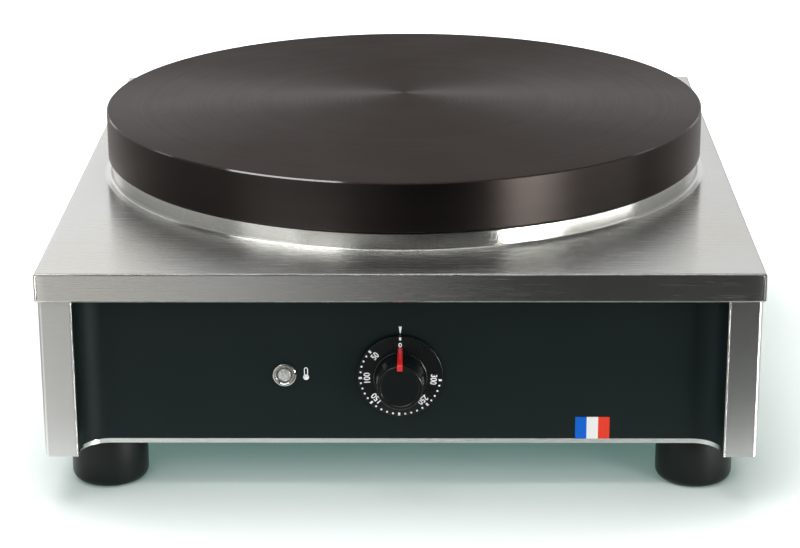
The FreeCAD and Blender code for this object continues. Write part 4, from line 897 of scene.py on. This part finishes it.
# %% Wedge over the dial
film_front = panel_y - print_depth / 2
index_top, index_bottom = knob_z + 0.0308, knob_z + 0.0264
index_width = 0.0018
index_taper = 0.35
wedge = bar_mark(index_width, index_top - index_bottom)
for point in wedge.verts:
    if point.co.y < 0:
        point.co.x *= index_taper
stand_on_panel(wedge, 0.0, film_front, (index_top + index_bottom) / 2)
finished("index_mark", wedge, white_print, sharp=30.0)

# %% [markdown]
# The second mark is a small thermometer beside the lamp: a full disc with a stem in outline. The
# stem is two bars and a half ring, and the half ring is a small upright oblong spun half a turn.

# %% Thermometer sign
sign_x = -0.0574
bulb_z, bulb_radius = lamp_z - 0.0019, 0.0018
stem_top, stem_radius, stem_line = lamp_z + 0.0044, 0.0012, 0.0005
cap_z = stem_top - stem_radius
line_offset = stem_radius - stem_line / 2
sign = bmesh.new()
poured(sign, stand_on_panel(round_mark(bulb_radius, 32), sign_x, film_front, bulb_z))
for x_side in (-1, 1):
    stem_side = bar_mark(stem_line, cap_z - bulb_z)
    poured(sign, stand_on_panel(stem_side, sign_x + x_side * line_offset, film_front, (bulb_z + cap_z) / 2))
cap = bmesh.new()
cap_end = bmesh.ops.create_grid(cap, x_segments=1, y_segments=1, size=0.5)["verts"]
bmesh.ops.scale(cap, verts=cap_end, vec=(stem_line, print_depth, 1))
bmesh.ops.rotate(cap, verts=cap_end, cent=(0, 0, 0), matrix=Matrix.Rotation(math.radians(90), 3, "X"))
bmesh.ops.translate(cap, verts=cap_end, vec=(line_offset, 0, 0))
bmesh.ops.spin(cap, geom=cap.verts[:] + cap.edges[:] + cap.faces[:], cent=(0, 0, 0), axis=(0, 0, 1),
               angle=math.pi, steps=16, use_merge=False, use_duplicate=False)
bmesh.ops.recalc_face_normals(cap, faces=cap.faces)
poured(sign, stand_on_panel(cap, sign_x, film_front, cap_z))
finished("thermometer_sign", sign, white_print, sharp=30.0)

# %% [markdown]
# The studio needs a floor, cards and lamps. Their materials give off light or take it, and need
# no Principled shader, so they get a helper of their own.

# %% Helpers for the studio
def stage_material(name, build):
    """A material for the floor or a card, from a function that returns a shader output."""
    material = bpy.data.materials.new(name)
    material.use_nodes = True
    tree = material.node_tree
    tree.nodes.clear()
    tree.links.new(build(tree), tree.nodes.new("ShaderNodeOutputMaterial").inputs["Surface"])
    return material


def seen_directly(tree):
    """One for a ray from the camera, a mirror or glass, and nought for lamplight."""
    rays = tree.nodes.new("ShaderNodeLightPath")
    first = math_node(tree, "ADD", rays.outputs["Is Camera Ray"], rays.outputs["Is Glossy Ray"])
    both = math_node(tree, "ADD", first, rays.outputs["Is Transmission Ray"])
    return math_node(tree, "MINIMUM", both, 1.0)


def flat_card(name, width, depth, material):
    """A flat sheet about the origin that belongs to the studio."""
    mesh = bmesh.new()
    bmesh.ops.create_grid(mesh, x_segments=1, y_segments=1, size=0.5)
    bmesh.ops.scale(mesh, verts=mesh.verts, vec=(width, depth, 1))
    data = bpy.data.meshes.new(name)
    mesh.to_mesh(data)
    mesh.free()
    data.materials.append(material)
    card = bpy.data.objects.new(name, data)
    bpy.context.scene.collection.objects.link(card)
    return card


print("helpers for the studio ready")

# %% [markdown]
# The floor is a wide pale sheet. A camera or a reflection sees its colour with some light added,
# so that it turns white where nothing shades it. Close to the body the added light fades to a dim
# green-grey, a painted shade round the body, and the real shadow that the lamps cast falls on it.

# %% Floor
floor_width = 14.0
paper_colour = (0.86, 0.86, 0.86, 1.0)
painted_shade_colour = (0.016, 0.074, 0.058)
shade_reach, white_reach = 0.29, 0.50


def floor_build(tree):
    """Pale paper that glows a little where it is seen, with painted shade in the glow near the body."""
    paper = add(tree, "BsdfDiffuse", {"Color": paper_colour})
    distance = add(tree, "VectorMath", {0: object_place(tree)}, output="Value", operation="LENGTH")
    far = add(tree, "MapRange", {"Value": distance, "From Min": shade_reach, "From Max": white_reach},
              interpolation_type="SMOOTHSTEP")
    # painted shade: the glow turns dim green-grey towards the body, by distance alone
    tint = blend_colours(tree, far, painted_shade_colour, (1.0, 1.0, 1.0))
    glow = add(tree, "Emission", {"Color": tint, "Strength": seen_directly(tree)})
    return add(tree, "AddShader", {0: paper, 1: glow})


floor = flat_card("studio_floor", floor_width, floor_width, stage_material("pale_floor", floor_build))
print("floor", tuple(floor.dimensions))

# %% [markdown]
# Steel shows what stands around it. In the photograph the room in front is bright on the left and
# dark on the right, and dark overhead. One card that lies in front of the object, one that stands
# behind the camera and one overhead are that room. Cards are seen in reflections only, so they
# neither light the object nor shade it.

# %% Cards in front and overhead
card_height = 0.004


def mirror_card(name, width, depth, finish, place, turned_by=(0.0, 0.0, 0.0)):
    """Puts a card in its place and hides it from everything but reflections."""
    card = flat_card(name, width, depth, finish)
    card.location = place
    card.rotation_euler = turned_by
    for ray in ("camera", "diffuse", "transmission", "volume_scatter", "shadow"):
        setattr(card, "visible_" + ray, False)


def fading_card(start, end, bright, dark):
    """Builds a card that is bright up to a start on its left and dark past an end."""
    def build(tree):
        along = part_of(tree, object_place(tree), "X")
        fade = add(tree, "MapRange", {"Value": along, "From Min": start, "From Max": end,
                                      "To Min": bright, "To Max": dark}, interpolation_type="SMOOTHSTEP")
        return add(tree, "Emission", {"Color": (1.0, 0.985, 0.955, 1.0), "Strength": fade})
    return build


def even_card(strength):
    """Builds a card that is equally bright all over."""
    def build(tree):
        return add(tree, "Emission", {"Color": (1.0, 1.0, 1.0, 1.0), "Strength": strength})
    return build


upright = (math.radians(90), 0, 0)
low_finish = stage_material("low_card", fading_card(-0.30, 0.115, bright=0.61, dark=0.025))
mirror_card("front_low_card", 4.0, 2.20, low_finish, (0.0, -1.41, card_height))
tall_finish = stage_material("tall_card", fading_card(-1.30, -0.50, bright=0.55, dark=0.03))
mirror_card("front_tall_card", 4.0, 2.4, tall_finish, (0.0, -2.50, 1.2), upright)
ceiling_finish = stage_material("ceiling_card", even_card(0.10))
mirror_card("ceiling_card", 5.0, 2.9, ceiling_finish, (0.0, -0.65, 1.75))
print("room in front ready")

# %% [markdown]
# Two bright cards draw two marks. A small one at the upper left is what the chamfer of the plate
# mirrors. A long low one at the right, brightest at its front end, draws the streak on the plate's
# side and the shine on the collar. It ends below the plate's top, which must stay dark.

# %% Cards for the bright marks
rim_finish = stage_material("bright_card", even_card(9.0))
rim_turn = (0, 0, math.radians(-31.2))
mirror_card("rim_card", 1.05, 0.30, rim_finish, (-0.96, -0.413, 1.70), rim_turn)
streak_finish = stage_material("streak_card", fading_card(-0.62, -0.05, bright=60.0, dark=8.0))
streak_place = Vector((1.505, -0.686, 0.10))
to_axis = Vector((0.0, 0.0, streak_place.z)) - streak_place
streak_turn = to_axis.to_track_quat("-Z", "Y").to_euler()
mirror_card("streak_card", 1.87, 0.19, streak_finish, streak_place, streak_turn)
print("bright marks ready")

# %% [markdown]
# Grey cards lie and stand round the other three sides, so that the steel stays grey when it is
# seen from there. The one at the back is low, because the deck mirrors the white above it.

# %% Grey cards round the sides
grey_low, grey_high = 0.46, 0.30
wall_top = 1.2


def grey_build(tree):
    """A mid grey that is a little paler low down."""
    height = part_of(tree, add(tree, "NewGeometry", output="Position"), "Z")
    level = add(tree, "MapRange", {"Value": height, "From Min": 0.0, "From Max": wall_top,
                                   "To Min": grey_low, "To Max": grey_high})
    return add(tree, "Emission", {"Color": (1.0, 1.0, 0.99, 1.0), "Strength": level})


grey_finish = stage_material("grey_card", grey_build)
sideways = (0, math.radians(90), 0)
for side_name, x_side in (("left", -1), ("right", 1)):
    mirror_card("side_floor_" + side_name, 1.5, 2.1, grey_finish, (x_side * 1.05, 0.75, card_height))
    mirror_card("side_wall_" + side_name, 1.4, 3.2, grey_finish, (x_side * 1.85, 0.55, 0.70), sideways)
mirror_card("back_floor", 0.56, 1.5, grey_finish, (0.0, 1.05, card_height))
mirror_card("back_wall", 3.7, 0.45, grey_finish, (0.0, 1.90, 0.225), upright)
print("grey sides ready")

# %% [markdown]
# The light is plain and soft. A wide lamp hangs overhead, a little to the left, and a broad fill
# stands in front. A lamp at the left and a tall one at the right shape the round pieces, and a
# thin strip over the front edge draws the bright line on the pan's fold. Those whose mirror image
# would show on the steel are kept out of reflections.

# %% Lamps
def soft_lamp(name, place, target, width, height, watts, mirrored=True):
    """A rectangular lamp that faces a target, and whether reflections show it."""
    data = bpy.data.lights.new(name, "AREA")
    data.shape = "RECTANGLE"
    data.size = width
    data.size_y = height
    data.energy = watts
    lamp = bpy.data.objects.new(name, data)
    bpy.context.scene.collection.objects.link(lamp)
    aim = (Vector(target) - Vector(place)).to_track_quat("-Z", "Y")
    lamp.matrix_world = Matrix.Translation(place) @ aim.to_matrix().to_4x4()
    lamp.visible_glossy = mirrored
    return lamp


soft_lamp("overhead_lamp", (-0.15, 0.10, 1.65), (0.0, 0.0, 0.1), 1.5, 1.3, watts=26.0, mirrored=False)
soft_lamp("edge_strip", (0.0, -0.80, 1.50), (0.0, -0.2, 0.15), 1.8, 0.10, watts=4.0)
soft_lamp("left_lamp", (-1.05, -1.10, 1.60), (0.0, 0.0, 0.15), 1.1, 0.5, watts=6.0)
soft_lamp("right_lamp", (1.25, -1.45, 0.62), (0.0, 0.0, 0.16), 0.24, 1.1, watts=7.0, mirrored=False)
soft_lamp("front_fill", (-0.5, -1.9, 1.0), (0.0, 0.0, 0.1), 1.2, 1.0, watts=9.0, mirrored=False)
print("lamps ready")

# %% [markdown]
# The world gives a low even fill to everything. The camera sees it as white, and a reflection
# sees it a little brighter at the left than at the right, as the deck of the pan shows it.

# %% World
fill_light = 0.27
left_sky, right_sky = 1.20, 0.78
world = bpy.data.worlds.new("studio_world")
bpy.context.scene.world = world
world.use_nodes = True
sky = world.node_tree
sky.nodes.clear()
rightward = part_of(sky, add(sky, "TexCoord", output="Generated"), "X")
mirrored_sky = add(sky, "MapRange", {"Value": rightward, "From Min": -0.5, "From Max": 0.5,
                                     "To Min": left_sky, "To Max": right_sky})
room = add(sky, "MapRange", {"Value": seen_directly(sky), "To Min": fill_light, "To Max": mirrored_sky})
to_camera = sky.nodes.new("ShaderNodeLightPath").outputs["Is Camera Ray"]
strength = math_node(sky, "MAXIMUM", room, to_camera)
sky.links.new(add(sky, "Background", {"Color": (1.0, 1.0, 1.0, 1.0), "Strength": strength}),
              sky.nodes.new("ShaderNodeOutputWorld").inputs["Surface"])
bpy.context.scene.view_settings.view_transform = "Standard"
print("world ready")
